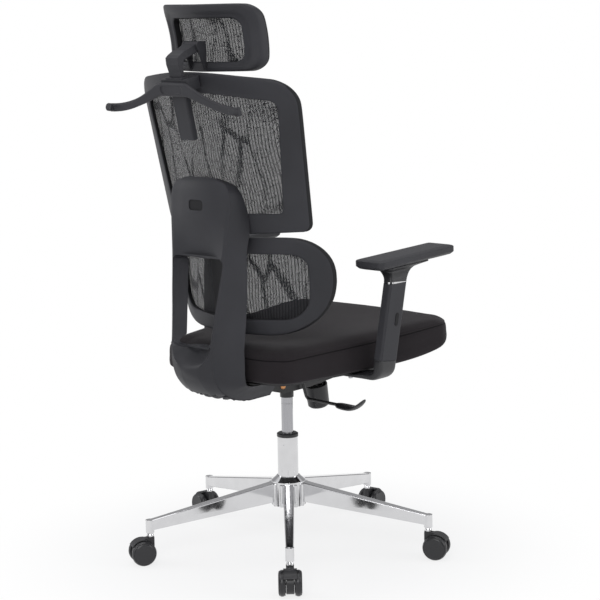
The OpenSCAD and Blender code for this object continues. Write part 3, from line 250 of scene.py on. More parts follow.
def polished(name, colour, rough=0.05, edge=0.0008):
    """Chrome plate: mirror-bright with faint polishing haze and a slight ripple."""
    material, tree, shader = new_material(name)
    place = place_of(tree)
    haze = noise(tree, place, 30.0, 4.0)
    ripple = noise(tree, place, 14.0, 1.0)
    dark = tuple(c * 0.93 for c in colour)
    tree.links.new(blend_colours(tree, spread(tree, haze, 0, 1), dark, colour), shader.inputs["Base Color"])
    tree.links.new(spread(tree, haze, rough * 0.6, rough * 1.6), shader.inputs["Roughness"])
    edged = put(tree, "ShaderNodeBevel", {"samples": 4}, Radius=edge)
    bump = put(tree, "ShaderNodeBump", Strength=0.12, Distance=0.002, Height=ripple, Normal=edged.outputs[0])
    tree.links.new(bump.outputs[0], shader.inputs["Normal"])
    shader.inputs["Metallic"].default_value = 1.0
    return material


def brushed(name, colour, rough=0.28, stretch=(900.0, 900.0, 4.0), edge=0.0006):
    """Ground or drawn steel with fine lines along one axis."""
    material, tree, shader = new_material(name)
    place = put(tree, "ShaderNodeMapping", Vector=place_of(tree), Scale=stretch).outputs[0]
    lines = noise(tree, place, 1.0, 2.0)
    dark = tuple(c * 0.8 for c in colour)
    tree.links.new(blend_colours(tree, spread(tree, lines, 0, 1), dark, colour), shader.inputs["Base Color"])
    tree.links.new(spread(tree, lines, rough - 0.05, rough + 0.08), shader.inputs["Roughness"])
    edged = put(tree, "ShaderNodeBevel", {"samples": 4}, Radius=edge)
    bump = put(tree, "ShaderNodeBump", Strength=0.1, Distance=0.0002, Height=lines, Normal=edged.outputs[0])
    tree.links.new(bump.outputs[0], shader.inputs["Normal"])
    shader.inputs["Metallic"].default_value = 1.0
    return material


def math_node(tree, operation, *values, clamp=False):
    n = put(tree, "ShaderNodeMath", {"operation": operation, "use_clamp": clamp})
    for i, value in enumerate(values):
        if isinstance(value, bpy.types.NodeSocket):
            tree.links.new(value, n.inputs[i])
        else:
            n.inputs[i].default_value = value
    return n.outputs[0]


def wave(tree, value, pitch):
    """A sine of the value (metres) with that pitch, from 0 to 1."""
    turn = math_node(tree, "MULTIPLY", value, 2 * math.pi / pitch)
    return math_node(tree, "MULTIPLY_ADD", math_node(tree, "SINE", turn), 0.5, 0.5)


def woven(name, colour, pitch=0.0016, rough=0.85):
    """Plain-weave polyester upholstery with a soft nap."""
    material, tree, shader = new_material(name)
    place = place_of(tree)
    x, y, z = put(tree, "ShaderNodeSeparateXYZ", Vector=place).outputs
    across = wave(tree, math_node(tree, "ADD", x, z), pitch)
    along = wave(tree, math_node(tree, "ADD", y, z), pitch)
    weave = math_node(tree, "MULTIPLY", across, along)
    cloud = noise(tree, place, 9.0, 4.0)
    fleck = noise(tree, place, 700.0, 2.0)
    dark = tuple(c * 0.55 for c in colour)
    light = tuple(c * 1.35 for c in colour)
    mix = math_node(tree, "MULTIPLY_ADD", weave, 0.5, math_node(tree, "MULTIPLY", fleck, 0.5))
    base = blend_colours(tree, mix, dark, light)
    tone = blend_colours(tree, spread(tree, cloud, 0, 0.25), base, tuple(c * 1.3 for c in colour))
    tree.links.new(tone, shader.inputs["Base Color"])
    tree.links.new(spread(tree, fleck, rough - 0.08, rough + 0.08), shader.inputs["Roughness"])
    bump = put(tree, "ShaderNodeBump", Strength=0.5, Distance=0.0004, Height=mix)
    tree.links.new(bump.outputs[0], shader.inputs["Normal"])
    shader.inputs["Sheen Weight"].default_value = 0.08
    shader.inputs["Sheen Roughness"].default_value = 0.45
    shader.inputs["Specular IOR Level"].default_value = 0.15
    return material


RIB_PITCH, ROW_PITCH = 0.0069, 0.0021            # of the netting, across and up
VEIN_LEAN = math.radians(-28)


def netting(name, thread):
    """Open-knit back mesh: upright ribs, small holes three to a rib, slanting veins of closed stitches."""
    material, tree, shader = new_material(name)
    place = place_of(tree)
    x, _, z = put(tree, "ShaderNodeSeparateXYZ", Vector=place).outputs
    drift = noise(tree, place, 6.0, 1.0)
    across = math_node(tree, "MULTIPLY_ADD", drift, 0.02, x)
    upwards = math_node(tree, "MULTIPLY_ADD", drift, 0.01, z)
    ribs = wave(tree, across, RIB_PITCH)
    holes = math_node(tree, "MULTIPLY", wave(tree, across, RIB_PITCH / 3), wave(tree, upwards, ROW_PITCH))
    # veins: the edges of tall leaning cells, bent and faded here and there
    bend = put(tree, "ShaderNodeTexNoise", Vector=place, Scale=9.0, Detail=1.0).outputs["Color"]
    bent = put(tree, "ShaderNodeVectorMath", {"operation": "MULTIPLY_ADD"}, i0=bend, i1=(0.04, 0.0, 0.04),
               i2=place)
    flat = put(tree, "ShaderNodeVectorMath", {"operation": "MULTIPLY"}, i0=bent.outputs[0], i1=(1, 0, 1))
    lean = put(tree, "ShaderNodeMapping", Vector=flat.outputs[0], Rotation=(0, VEIN_LEAN, 0),
               Scale=(16, 1, 6.8))
    cells = put(tree, "ShaderNodeTexVoronoi", {"feature": "DISTANCE_TO_EDGE"}, Vector=lean.outputs[0],
                Scale=1.0)
    gate = noise(tree, place, 7.0, 1.0)
    vein = math_node(tree, "MULTIPLY", spread(tree, cells.outputs["Distance"], 1, 0, 0.03, 0.08),
                     spread(tree, gate, 0.25, 1, 0.38, 0.5))
    # closed stitches, sparse on the plain ground and close together in the veins
    stitch = put(tree, "ShaderNodeTexVoronoi", Scale=1.0,
                 Vector=put(tree, "ShaderNodeMapping", Vector=place, Scale=(640, 120, 400)).outputs[0])
    chance = put(tree, "ShaderNodeSeparateColor", Color=stitch.outputs["Color"]).outputs["Red"]
    share = math_node(tree, "MULTIPLY_ADD", vein, 0.6, 0.12)
    closed = math_node(tree, "MULTIPLY", math_node(tree, "LESS_THAN", chance, share),
                       math_node(tree, "LESS_THAN", stitch.outputs["Distance"], 0.62))
    level = math_node(tree, "MULTIPLY_ADD", ribs, -0.24, 0.79)
    level = math_node(tree, "ADD", level, math_node(tree, "MULTIPLY", closed, 0.5))
    level = math_node(tree, "MULTIPLY_ADD", vein, 0.15, level)
    over = math_node(tree, "SUBTRACT", holes, level)
    opening = spread(tree, over, 0, 1, -0.02, 0.04)
    solid = math_node(tree, "SUBTRACT", 1.0, opening, clamp=True)
    dark = tuple(c * 0.6 for c in thread)
    tree.links.new(blend_colours(tree, ribs, dark, thread), shader.inputs["Base Color"])
    tree.links.new(spread(tree, drift, 0.6, 0.8), shader.inputs["Roughness"])
    tree.links.new(solid, shader.inputs["Alpha"])
    bump = put(tree, "ShaderNodeBump", Strength=0.5, Distance=0.0005, Height=holes)
    tree.links.new(bump.outputs[0], shader.inputs["Normal"])
    shader.inputs["Specular IOR Level"].default_value = 0.1
    return material


MATERIALS = {
    "chromed_alloy": polished("chromed_alloy", (0.70, 0.70, 0.71), 0.09),
    "chrome": polished("chrome", (0.66, 0.66, 0.67), 0.06),
    "satin_steel": brushed("satin_steel", (0.44, 0.44, 0.46), 0.26),
    "zinc_steel": brushed("zinc_steel", (0.60, 0.60, 0.62), 0.35),
    "black_steel": moulded("black_steel", (0.012, 0.012, 0.013), 0.42, 0.2, 0.0008),
    "brass": brushed("brass", (0.62, 0.30, 0.13), 0.3, (500, 500, 500)),
    "black_plastic": moulded("black_plastic", (0.016, 0.016, 0.018), 0.42, 0.25),
    "grey_plastic": moulded("grey_plastic", (0.036, 0.036, 0.0405), 0.5, 0.3, 0.0016, level=0.2),
    "wheel_plastic": moulded("wheel_plastic", (0.017, 0.017, 0.019), 0.33, 0.1, 0.001),
    # near-black plastic: painted shade on frame walls and in the spine's dimple, and the arm buttons' own
    # dark colour
    "dark_plastic_and_painted_shade": moulded("dark_plastic_and_painted_shade", (0.012, 0.012, 0.0135), 0.6, 0.2, 0.0008, level=0.2),
    # lighter plastic: painted light that brightens the inner wall of the spine's window
    "lining_painted_light": moulded("lining_painted_light", (0.058, 0.058, 0.064), 0.5, 0.3, 0.0012, level=0.2),
    "soft_pad": moulded("soft_pad", (0.041, 0.041, 0.045), 0.5, 0.4, 0.0012, 600.0, level=0.2),
    "seat_fabric": woven("seat_fabric", (0.021, 0.0175, 0.0195)),
    # near-black weave: painted shade in the seam's groove
    "seam_painted_shade": woven("seam_painted_shade", (0.006, 0.005, 0.006)),
    "mesh_fabric": netting("mesh_fabric", (0.027, 0.027, 0.030)),
}

slot_of = {s["node"]: s["material_slot"] for s in frame["record"]["subparts"]}
for name, obj in nodes.items():
    obj.data.materials.clear()
    obj.data.materials.append(MATERIALS[slot_of[name]])


# ---------------------------------------------------------------- smooth versions of the sculpted parts

WELD = 2e-6                                      # CAD corners nearer than this are one
QUAD_FLAT, QUAD_SHAPE = math.radians(50), math.radians(60)
CREASE_ANGLE, CREASE = math.radians(40), 0.75


def add_object(name, mesh, body, slot):
    obj = bpy.data.objects.new(name, mesh)
    scene.collection.objects.link(obj)
    mesh.materials.clear()
    mesh.materials.append(MATERIALS[slot])
    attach(obj, body)
    return obj


def applied(obj):
    """Bakes an object's modifiers into its mesh."""
    depsgraph = bpy.context.evaluated_depsgraph_get()
    mesh = bpy.data.meshes.new_from_object(obj.evaluated_get(depsgraph))
    obj.modifiers.clear()
    old = obj.data
    obj.data = mesh
    bpy.data.meshes.remove(old)
    return obj


def shade_smooth(mesh, limit=None):
    for poly in mesh.polygons:
        poly.use_smooth = True
    if limit is not None:
        mesh.set_sharp_from_angle(angle=math.radians(limit))


def subdivided(obj, levels):
    sub = obj.modifiers.new("subdivide", "SUBSURF")
    sub.levels = sub.render_levels = levels
    return applied(obj)


def finished(bm, name):
    """Turns a bmesh into a mesh and frees it."""
    mesh = bpy.data.meshes.new(name)
    bm.to_mesh(mesh)
    bm.free()
    return mesh


def welded(node):
    """A bmesh of a CAD node with its facets joined at their corners."""
    bm = bmesh.new()
    bm.from_mesh(nodes[node].data)
    bmesh.ops.remove_doubles(bm, verts=bm.verts, dist=WELD)
    return bm


def join_to_quads(bm):
    bmesh.ops.join_triangles(bm, faces=bm.faces, angle_face_threshold=QUAD_FLAT,
                             angle_shape_threshold=QUAD_SHAPE)


def lofted(name, rings, closed=False, split_caps=False):
    """A mesh through rings of places, either capped at both ends or closed on itself."""
    bm = bmesh.new()
    rings = [[bm.verts.new(p) for p in ring] for ring in rings]
    sides = len(rings[0])
    for a, b in zip(rings, rings[1:] + rings[:1] if closed else rings[1:]):
        for i in range(sides):
            bm.faces.new((a[i], a[(i + 1) % sides], b[(i + 1) % sides], b[i]))
    if not closed:
        caps = [bm.faces.new(rings[0][::-1]), bm.faces.new(rings[-1])]
        if split_caps:
            bmesh.ops.triangulate(bm, faces=caps)
    bmesh.ops.recalc_face_normals(bm, faces=bm.faces)
    return finished(bm, name)


def circle(sides):
    return [2 * math.pi * i / sides for i in range(sides)]


def refined(node):
    """A smooth piece that stands for a faceted CAD node: its facets joined to quads and subdivided."""
    bm = welded(node)
    bmesh.ops.dissolve_degenerate(bm, edges=bm.edges, dist=WELD / 2)
    join_to_quads(bm)
    layer = bm.edges.layers.float.get("crease_edge") or bm.edges.layers.float.new("crease_edge")
    for e in bm.edges:
        if len(e.link_faces) == 2 and e.calc_face_angle(0) > CREASE_ANGLE:
            e[layer] = CREASE
    obj = add_object(node + "_smooth", finished(bm, node + "_smooth"), nodes[node]["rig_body"], slot_of[node])
    subdivided(obj, 2)
    shade_smooth(obj.data)
    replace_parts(obj, node)
    return obj


def painted_side_shade(obj, inside_only):
    """Paints shade on a frame: faces turned away from the rear, on its inner wall and front, and on its outer
    wall unless told not to, get the near-black plastic as painted shade.
    """
    obj.data.materials.append(MATERIALS["dark_plastic_and_painted_shade"])
    middle = sum((Vector(c) for c in obj.bound_box), Vector()) / 8
    for face in obj.data.polygons:
        inwards = (middle - face.center).normalized().dot(face.normal)
        if face.normal.y < 0.42 and (inwards > 0.1 or not inside_only or face.normal.y < -0.5):
            face.material_index = 1


# painted shade on the frames' walls that face away from the lamps
painted_side_shade(refined("back_frame"), False)
painted_side_shade(refined("lumbar_frame"), False)
painted_side_shade(refined("headrest_frame"), True)
for name in ("coat_hanger", "lever_handle", "lever_rod", "tension_spring",
             "left_arm_bracket", "right_arm_bracket", "left_arm_neck", "right_arm_neck"):
    refined(name)


# ---------------------------------------------------------------- spine

BACK_Z = 0.4663                                  # datum of the back's heights
WALL = 0.0055
WINDOW_TOP, WINDOW_BOTTOM = 0.287, 0.082
WINDOW_HALF = (0.0815, 0.057)                    # at its top and at its bottom
WINDOW_RADII = (0.014, 0.024)
LINING_DEPTH, SILL_DEPTH, LINING_FLARE = 0.032, 0.006, 0.008
SCOOP_LENGTH, SCOOP_HALF, SCOOP_DEPTH = 0.036, 0.0585, 0.020
POCKET_DEPTH, POCKET_TOP = 0.008, -0.029
DIMPLE = (0.044, 0.024, 0.008)                   # width, height, corner radius
DIMPLE_Y, DIMPLE_UP = 0.2945, 0.406              # its floor, and its middle above the datum
TOP_FILL = 459                                   # stations above this height, in millimetres, are solid
SPINE_ROWS = 190
CUT_BACK = 0.4                                   # behind everything, where the cutters end
# Stations down the spine in millimetres: rear middle [y, z] and half-width, front edge [y, z] and half-width,
# how far the rear face is crowned, and its edge line [x, depth]
SPINE = (
    (276, 468, 42, 251, 461, 45, -3, 36, -1), (279, 461, 68, 247, 453, 71, -7, 60, -1.5),
    (281, 448, 84, 244, 438, 88, -11, 77, -1.5), (282, 426, 92, 239, 418, 96, -14, 85, -1.5),
    (282, 402, 93.5, 233, 398, 97, -15, 87, -1.5), (284, 384, 92.5, 226.8, 378, 98, -13, 86, -1.5),
    (288, 342, 88.5, 225, 346, 99, -2, 82, -1.5), (293, 297, 83.5, 239, 296, 102, 14, 77, -1.5),
    (298, 254, 80, 241, 253, 104, 20, 74, -1.5), (303, 217, 77, 243, 216, 105, 22, 71, -1.5),
    (311, 159, 71, 249, 158, 106, 26, 66, -1.5), (318, 106, 67, 257, 106, 108, 30, 62, -1.5),
    (323, 74, 64.5, 263, 76, 110, 24, 58, -2), (324, 56, 63.5, 264, 60, 111.5, 6, 48, -7),
    (322, 38, 63, 264, 44, 112, -13, 28, -12), (313, 9, 62, 264, 20, 112, -12, 28, -11),
    (296, -14, 61, 259, 0, 111, -10, 28, -9), (272, -34, 60, 240, -8, 108, -6, 28, -5),
    (244, -47, 60, 222, -11, 103, -3, 28, -2), (205, -55, 60, 200, -14, 95, -1.6, 30, -1),
    (160, -56, 59, 160, -17, 85, -1.4, 30, -0.8), (122, -56, 58, 122, -20, 78, -1.2, 30, -0.7))


def smooth_path(points, at, places):
    """A smooth curve through points, which stand at rising places, read at other places."""
    points, at = np.asarray(points, float), np.asarray(at, float)
    gaps = np.diff(at)
    slopes = np.diff(points, axis=0) / gaps[:, None]
    tangents = np.empty_like(points)
    before, after = gaps[:-1, None], gaps[1:, None]
    tangents[1:-1] = (slopes[:-1] * after + slopes[1:] * before) / (after + before)
    tangents[0], tangents[-1] = slopes[0], slopes[-1]
    k = np.clip(np.searchsorted(at, places, side="right") - 1, 0, len(at) - 2)
    h = gaps[k][:, None]
    t = ((np.asarray(places) - at[k]) / gaps[k])[:, None]
    return ((2 * t**3 - 3 * t**2 + 1) * points[k] + (t**3 - 2 * t**2 + t) * h * tangents[k]
            + (3 * t**2 - 2 * t**3) * points[k + 1] + (t**3 - t**2) * h * tangents[k + 1])


def through(points, steps):
    """That many steps along a smooth curve through a few points."""
    points = np.asarray(points, float)
    at = np.concatenate([[0], np.cumsum(np.linalg.norm(np.diff(points, axis=0), axis=1))])
    return smooth_path(points, at, np.linspace(0, at[-1], steps + 1))


def spine_profile(station, filled):
    """Half of a cross-section, from the rear middle round the edge to the inside middle: (x, depth)."""
    cy, cz, cx, ey, ez, ex, crown, lip_x, lip_d = station
    depth = math.hypot(ey - cy, ez - cz)
    wall = WALL * 1000
    inner = max(wall, depth - 1 - crown) if filled else wall
    mid = (crown + (lip_d - crown) * 0.28, crown + (lip_d - crown) * 0.75)
    rear = through([(-lip_x * 0.5, mid[0]), (0, crown), (lip_x * 0.5, mid[0]), (lip_x * 0.82, mid[1]),
                    (lip_x, lip_d)], 40)
    rear = rear[rear[:, 0] >= -1e-6]
    rear = through(rear, 18)
    rear[0, 0] = 0
    edge = through([(lip_x, lip_d), (cx - 1.5, 0.3)], 2)[1:]
    corner = np.array([(cx - 0.5, 0.7), (cx + 0.1, 1.6), (cx + 0.3, 3)])
    side = through([(cx + 0.3, 3), ((cx + ex) / 2 + 2, depth * 0.5), (ex, depth)], 9)[1:]
    bend = (cx - wall - 1, max(wall + 1, min(depth - 2, inner + lip_d)))
    inside = through([(ex - wall, depth), ((cx + ex) / 2 + 1 - wall, depth * 0.55), bend], 5)
    floor = through([bend, (lip_x * 0.9 - wall * 0.4, inner + max(lip_d, mid[1]) + 0.5),
                     (lip_x * 0.5, inner + mid[0]), (0, inner + crown)], 8)[1:]
    return np.concatenate([rear, edge, corner, side, inside, floor])


def scoop(x, s):
    """How far inside the scoop a point of the rear face lies, from 0 to 1; s runs down from the window."""
    r = (abs(x / SCOOP_HALF) ** 3 + max(0.0, s / SCOOP_LENGTH) ** 3) ** (1 / 3)
    return min(1.0, max(0.0, (1.0 - r) / 0.8)) if s > -0.015 else 0.0


def spine_pocket(x, y, z):
    """Depth of the slanting pockets moulded into the underside of the bend, from 0 to 1."""
    if not (z < POCKET_TOP and abs(x) < 0.075 and 0.2 < y < 0.3):
        return 0.0
    u = ((x + 0.5 * y) / 0.024) % 1.0
    ends = min(1.0, (POCKET_TOP - z) / 0.003, (y - 0.2) / 0.004, (0.075 - abs(x)) / 0.004)
    return min(1.0, max(0.0, min(u, 1 - u) - 0.1) / 0.1) * ends


def spine_shell():
    stations = np.array(SPINE, float)
    middle = stations[:, :2]
    at = np.concatenate([[0], np.cumsum(np.linalg.norm(np.diff(middle, axis=0), axis=1))])
    places, step = np.linspace(0, at[-1], SPINE_ROWS, retstep=True)
    rows = smooth_path(stations, at, places)
    window_s = np.interp(-WINDOW_BOTTOM * 1000, -rows[:, 1], places) / 1000
    rings = []
    for i, row in enumerate(rows):
        half = spine_profile(row, row[1] > TOP_FILL)
        centre, front = row[0:2], row[3:5]
        inward = (front - centre) / np.linalg.norm(front - centre)
        loop = np.concatenate([half, [(-x, d) for x, d in half[-2:0:-1]]])
        ring = []
        for j, (x, d) in enumerate(loop):
            y, z = (centre + inward * d) / 1000
            x /= 1000
            outside = j < 22 or j > len(loop) - 22
            push = SCOOP_DEPTH * scoop(x, i * step / 1000 - window_s)
            if outside:
                push += POCKET_DEPTH * spine_pocket(x, y, z)
            y, z = y + inward[0] * push, z + inward[1] * push
            ring.append((x, y, z + BACK_Z))
        rings.append(ring)
    return lofted("spine_shell", rings, split_caps=True)


def rounded_outline(corners, steps):
    """Closed outline through corners (x, z, radius), going round the same way as they do."""
    points = []
    k = len(corners)
    for i, (x, z, r) in enumerate(corners):
        here = Vector((x, z))
        a = (Vector(corners[i - 1][:2]) - here).normalized()
        b = (Vector(corners[(i + 1) % k][:2]) - here).normalized()
        half = math.acos(max(-1, min(1, a.dot(b)))) / 2
        centre = here + (a + b).normalized() * r / math.sin(half)
        first, last = here + a * r / math.tan(half) - centre, here + b * r / math.tan(half) - centre
        turn = first.angle(last)
        for j in range(steps + 1):
            t = j / steps
            swung = first * math.sin(turn * (1 - t)) + last * math.sin(turn * t)
            points.append(centre + swung / math.sin(turn))
    return points


def prism(name, outline, y0, y1):
    """A bar along Y with that outline in x and z."""
    return lofted(name, [[(p[0], y, p[1]) for p in outline] for y in (y0, y1)])


def cut(obj, tool_mesh, operation="DIFFERENCE"):
    """Cuts a mesh out of an object, or joins it on, for good."""
    tool = bpy.data.objects.new("cutter", tool_mesh)
    scene.collection.objects.link(tool)
    mod = obj.modifiers.new("cut", "BOOLEAN")
    mod.object, mod.operation, mod.solver = tool, operation, "EXACT"
    applied(obj)
    bpy.data.objects.remove(tool)
    bpy.data.meshes.remove(tool_mesh)


def window_corners(grow=0.0):
    top, low = WINDOW_HALF
    return [(-top - grow, BACK_Z + WINDOW_TOP + grow, WINDOW_RADII[0] + grow),
            (top + grow, BACK_Z + WINDOW_TOP + grow, WINDOW_RADII[0] + grow),
            (low + grow, BACK_Z + WINDOW_BOTTOM - grow, WINDOW_RADII[1] + grow),
            (-low - grow, BACK_Z + WINDOW_BOTTOM - grow, WINDOW_RADII[1] + grow)]


def add_lining(obj):
    """A wall round the window, from just under the rear face forward; shallow along the sill."""
    inner = rounded_outline(window_corners(), 10)
    outer = rounded_outline(window_corners(WALL * 0.8), 10)
    tree = BVHTree.FromObject(obj, bpy.context.evaluated_depsgraph_get())
    rings = []
    for p, q in zip(inner, outer):
        away = q + (q - p).normalized() * 0.003
        hit = tree.ray_cast(Vector((away.x, 0.45, away.y)), Vector((0, -1, 0)))[0]
        rear = (hit.y if hit else 0.3) - 0.0012
        share = min(1.0, max(0.0, (p.y - BACK_Z - WINDOW_BOTTOM - 0.002) / 0.02))
        depth = SILL_DEPTH + (LINING_DEPTH - SILL_DEPTH) * share
        inside = (p - q).normalized() * LINING_FLARE * share
        rings.append([(p.x, rear, p.y), (p.x + inside.x, rear - depth, p.y + inside.y),
                      (q.x + inside.x, rear - depth, q.y + inside.y), (q.x, rear, q.y)])
    cut(obj, lofted("lining", rings, closed=True), "UNION")


def make_spine():
    obj = add_object("spine_shell", spine_shell(), nodes["spine"]["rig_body"], slot_of["spine"])
    cut(obj, prism("window", rounded_outline(window_corners(), 10), 0.1, CUT_BACK))
    w, h, r = DIMPLE
    z = BACK_Z + DIMPLE_UP
    corners = [(-w / 2, z + h / 2, r), (w / 2, z + h / 2, r), (w / 2, z - h / 2, r), (-w / 2, z - h / 2, r)]
    cut(obj, prism("dimple", rounded_outline(corners, 5), DIMPLE_Y, CUT_BACK))
    add_lining(obj)
    obj.data.materials.clear()
    for slot in (slot_of["spine"], "dark_plastic_and_painted_shade", "lining_painted_light"):
        obj.data.materials.append(MATERIALS[slot])
    for face in obj.data.polygons:
        c = face.center
        # the dimple's floor gets the near-black plastic as painted shade in the recess
        floor = abs(c.x) < w / 2 and abs(c.z - z) < h / 2 and abs(c.y - DIMPLE_Y) < 0.0002
        inwards = face.normal.x * -math.copysign(1, c.x)
        # the window's inner wall gets the lighter plastic as painted light
        wall = inwards > 0.6 and face.normal.y > -0.1 and 0.04 < abs(c.x) < WINDOW_HALF[0]
        inside = BACK_Z + WINDOW_BOTTOM < c.z < BACK_Z + WINDOW_TOP
        face.material_index = 1 if floor else 2 if wall and inside else 0
    shade_smooth(obj.data, 28)
    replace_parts(obj, "spine")


# ---------------------------------------------------------------- arms

PAD = (0.084, 0.284)                             # width and length
PAD_CLIMB = math.radians(2)
PAD_DROP = 0.011                                 # the profile's zero below the middle of the CAD pad
PAD_RADIUS, PAD_LEAST_RADIUS = 0.015, 0.0015
# inset from the pad's outline and height above its underside, from below round the edge to the top's middle
PAD_PROFILE = ((0.018, 0), (0.008, 0.003), (0.0012, 0.008), (0.0001, 0.0096), (0, 0.0203), (0.0006, 0.0215),
               (0.0026, 0.0228), (0.0092, 0.0247), (0.0106, 0.0249), (0.0112, 0.0246), (0.0118, 0.0250),
               (0.024, 0.0253), (0.038, 0.0253))
# radius and height of the stud's rings, from inside the neck to its domed end
STUD_PROFILE = ((0.0036, -0.002), (0.0036, 0.0004), (0.0031, 0.0011), (0.0020, 0.0016), (0.0008, 0.0018))
STUD_INSET, STUD_DROP = 0.0075, 0.0025           # from the side and the top of the chrome strip


def make_pad(node):
    """A firm moulded pad with a crisp chamfer and a fine line round its top."""
    lo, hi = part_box(node)
    middle = Vector([(a + b) / 2 for a, b in zip(lo, hi)])
    turn = Matrix.Rotation(-PAD_CLIMB, 4, "X")
    rings = []
    for inset, height in PAD_PROFILE:
        w, l = PAD[0] / 2 - inset, PAD[1] / 2 - inset
        r = max(PAD_LEAST_RADIUS, min(PAD_RADIUS - inset, w * 0.9))
        outline = rounded_outline([(-w, -l, r), (w, -l, r), (w, l, r), (-w, l, r)], 10)
        rings.append([middle + turn @ Vector((p.x, p.y, height - PAD_DROP)) for p in outline])
    mesh = lofted(node + "_top", rings)
    shade_smooth(mesh, 24)
    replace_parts(add_object(node + "_top", mesh, nodes[node]["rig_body"], slot_of[node]), node)


def make_stud(side):
    """The round chrome stud on the rear of an arm's neck, beside the end of its chrome strip."""
    ring, neck = nodes[side + "_arm_ring"], bpy.data.objects[side + "_arm_neck_smooth"]
    lo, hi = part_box(side + "_arm_ring")
    x = hi[0] - STUD_INSET if side == "left" else lo[0] + STUD_INSET
    z = hi[2] - STUD_DROP
    tree = BVHTree.FromObject(neck, bpy.context.evaluated_depsgraph_get())
    y = tree.ray_cast(Vector((x, 0.2, z)), Vector((0, -1, 0)))[0].y
    mesh = lofted(side + "_stud", [[(x + radius * math.cos(a), y + height, z + radius * math.sin(a))
                                    for a in circle(24)] for radius, height in STUD_PROFILE])
    shade_smooth(mesh)
    add_object(side + "_stud", mesh, ring["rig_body"], slot_of[side + "_arm_ring"])


# ---------------------------------------------------------------- stretched meshes

MESH_HALF = 0.0008                               # half the CAD mesh's thickness
REAR_FACING = 0.3                                # least y of a rear face's normal
EDGING_RADIUS = 0.0016
MIDDLE_BAND = 0.012                              # half the height of the band that the width is measured in


def make_sheet(node):
    """One thin sheet where the CAD mesh has its rear skin, and a round edging along its rim."""
    body = nodes[node]["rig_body"]
    bm = welded(node)
    bmesh.ops.delete(bm, geom=[f for f in bm.faces if f.normal.y < REAR_FACING], context="FACES")
    join_to_quads(bm)
    bmesh.ops.translate(bm, verts=bm.verts, vec=(0, -MESH_HALF, 0))
    obj = add_object(node + "_sheet", finished(bm, node + "_sheet"), body, slot_of[node])
    subdivided(obj, 2)
    shade_smooth(obj.data)
    bm = bmesh.new()
    bm.from_mesh(obj.data)
    loop = ordered_loop([e for e in bm.edges if e.is_boundary])
    bm.free()
    width = arc_width(obj.data)
    hem = add_object(node + "_edging", tube(node + "_edging", loop, EDGING_RADIUS), body, "black_plastic")
    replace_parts(obj, node)


def ordered_loop(edges):
    """The places along one closed chain of edges, in order."""
    links = {}
    for e in edges:
        for a, b in (e.verts, reversed(e.verts)):
            links.setdefault(a, []).append(b)
    start = edges[0].verts[0]
    chain, last, here = [start.co.copy()], None, start
    while True:
        step = [v for v in links[here] if v is not last][0]
        last, here = here, step
        if here is start:
            return chain
        chain.append(here.co.copy())


def arc_width(mesh):
    """Length of a sheet across its middle, measured over its bow."""
    places = np.array([v.co for v in mesh.vertices])
    z = (places[:, 2].min() + places[:, 2].max()) / 2
    near = places[abs(places[:, 2] - z) < MIDDLE_BAND]
    near = near[np.argsort(near[:, 0])]
    bins = np.linspace(near[0, 0], near[-1, 0], 24)
    y = np.interp(bins, near[:, 0], near[:, 1])
    return float(np.hypot(np.diff(bins), np.diff(y)).sum())


def tube(name, loop, radius):
    """A closed round edging through a loop of places."""
    rings = []
    for i, p in enumerate(loop):
        along = (loop[(i + 1) % len(loop)] - loop[i - 1]).normalized()
        out = Vector((0, 1, 0)) - along * along.y
        out.normalize()
        side = along.cross(out)
        rings.append([p + (out * math.cos(a) + side * math.sin(a)) * radius for a in circle(8)])
    mesh = lofted(name, rings, closed=True)
    shade_smooth(mesh)
    return mesh


# ---------------------------------------------------------------- cushion

SEAM_Z = 0.5316                                  # height of the seam abreast of the column
SEAM_GROOVE = 0.0022
SWELL_CAP = 0.007
EASE_ROUNDS = 12                                 # how often the swelling is averaged with its neighbours
SHRINK = 0.002                                   # how far inside the CAD cushion the cover starts
SWELL_FRAMES = 20
SEAM_BAND = 0.0006                               # points this near the seam's height are on it
NOSE_GROWTH = 0.002                              # how far the stuffing pushes the front past its seam


def seam_height(y):
    """Height of the cushion's seam, which climbs to the front."""
    return SEAM_Z - 0.027 * y + 0.09 * max(0.0, -y) ** 2


def make_cushion():
    bm = welded("seat_cushion")
    join_to_quads(bm)
    bm.normal_update()
    under = {v.index for v in bm.verts if v.normal.z < -0.6}
    mesh = finished(bm, "cushion")
    obj = add_object("cushion", mesh, nodes["seat_cushion"]["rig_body"], slot_of["seat_cushion"])
    seam = obj.vertex_groups.new(name="seam")
    seam.add([v.index for v in mesh.vertices
              if abs(v.co.z - seam_height(v.co.y)) < SEAM_BAND and v.index not in under], 1.0, "REPLACE")
    held = obj.vertex_groups.new(name="held")
    held.add(sorted(under), 1.0, "REPLACE")
    subdivided(obj, 1)
    start = np.array([v.co for v in obj.data.vertices])
    normals = np.array([v.normal for v in obj.data.vertices])
    top = normals[:, 2] > -0.5
    start[top] -= normals[top] * SHRINK
    obj.data.vertices.foreach_set("co", start.ravel())
    swell(obj, start)
    subdivided(obj, 2)
    fit_plan(obj)
    index = obj.vertex_groups["seam"].index
    moved = [v.co.copy() for v in obj.data.vertices]
    for v in obj.data.vertices:
        weight = next((g.weight for g in v.groups if g.group == index), 0.0)
        depth = max(0.0, (weight - 0.6) / 0.4) ** 1.5
        pull = max(0.0, weight) * 0.0008
        moved[v.index] -= v.normal * (depth * SEAM_GROOVE + pull)
    for v in obj.data.vertices:
        v.co = moved[v.index]
    # faces on the seam get the near-black weave as painted shade along its groove
    obj.data.materials.append(MATERIALS["seam_painted_shade"])
    shaded_seam = {v.index for v in obj.data.vertices
            if any(g.group == index and g.weight > 0.97 for g in v.groups)}
    for face in obj.data.polygons:
        if shaded_seam.intersection(face.vertices):
            face.material_index = 1
    shade_smooth(obj.data)
    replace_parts(obj, "seat_cushion")


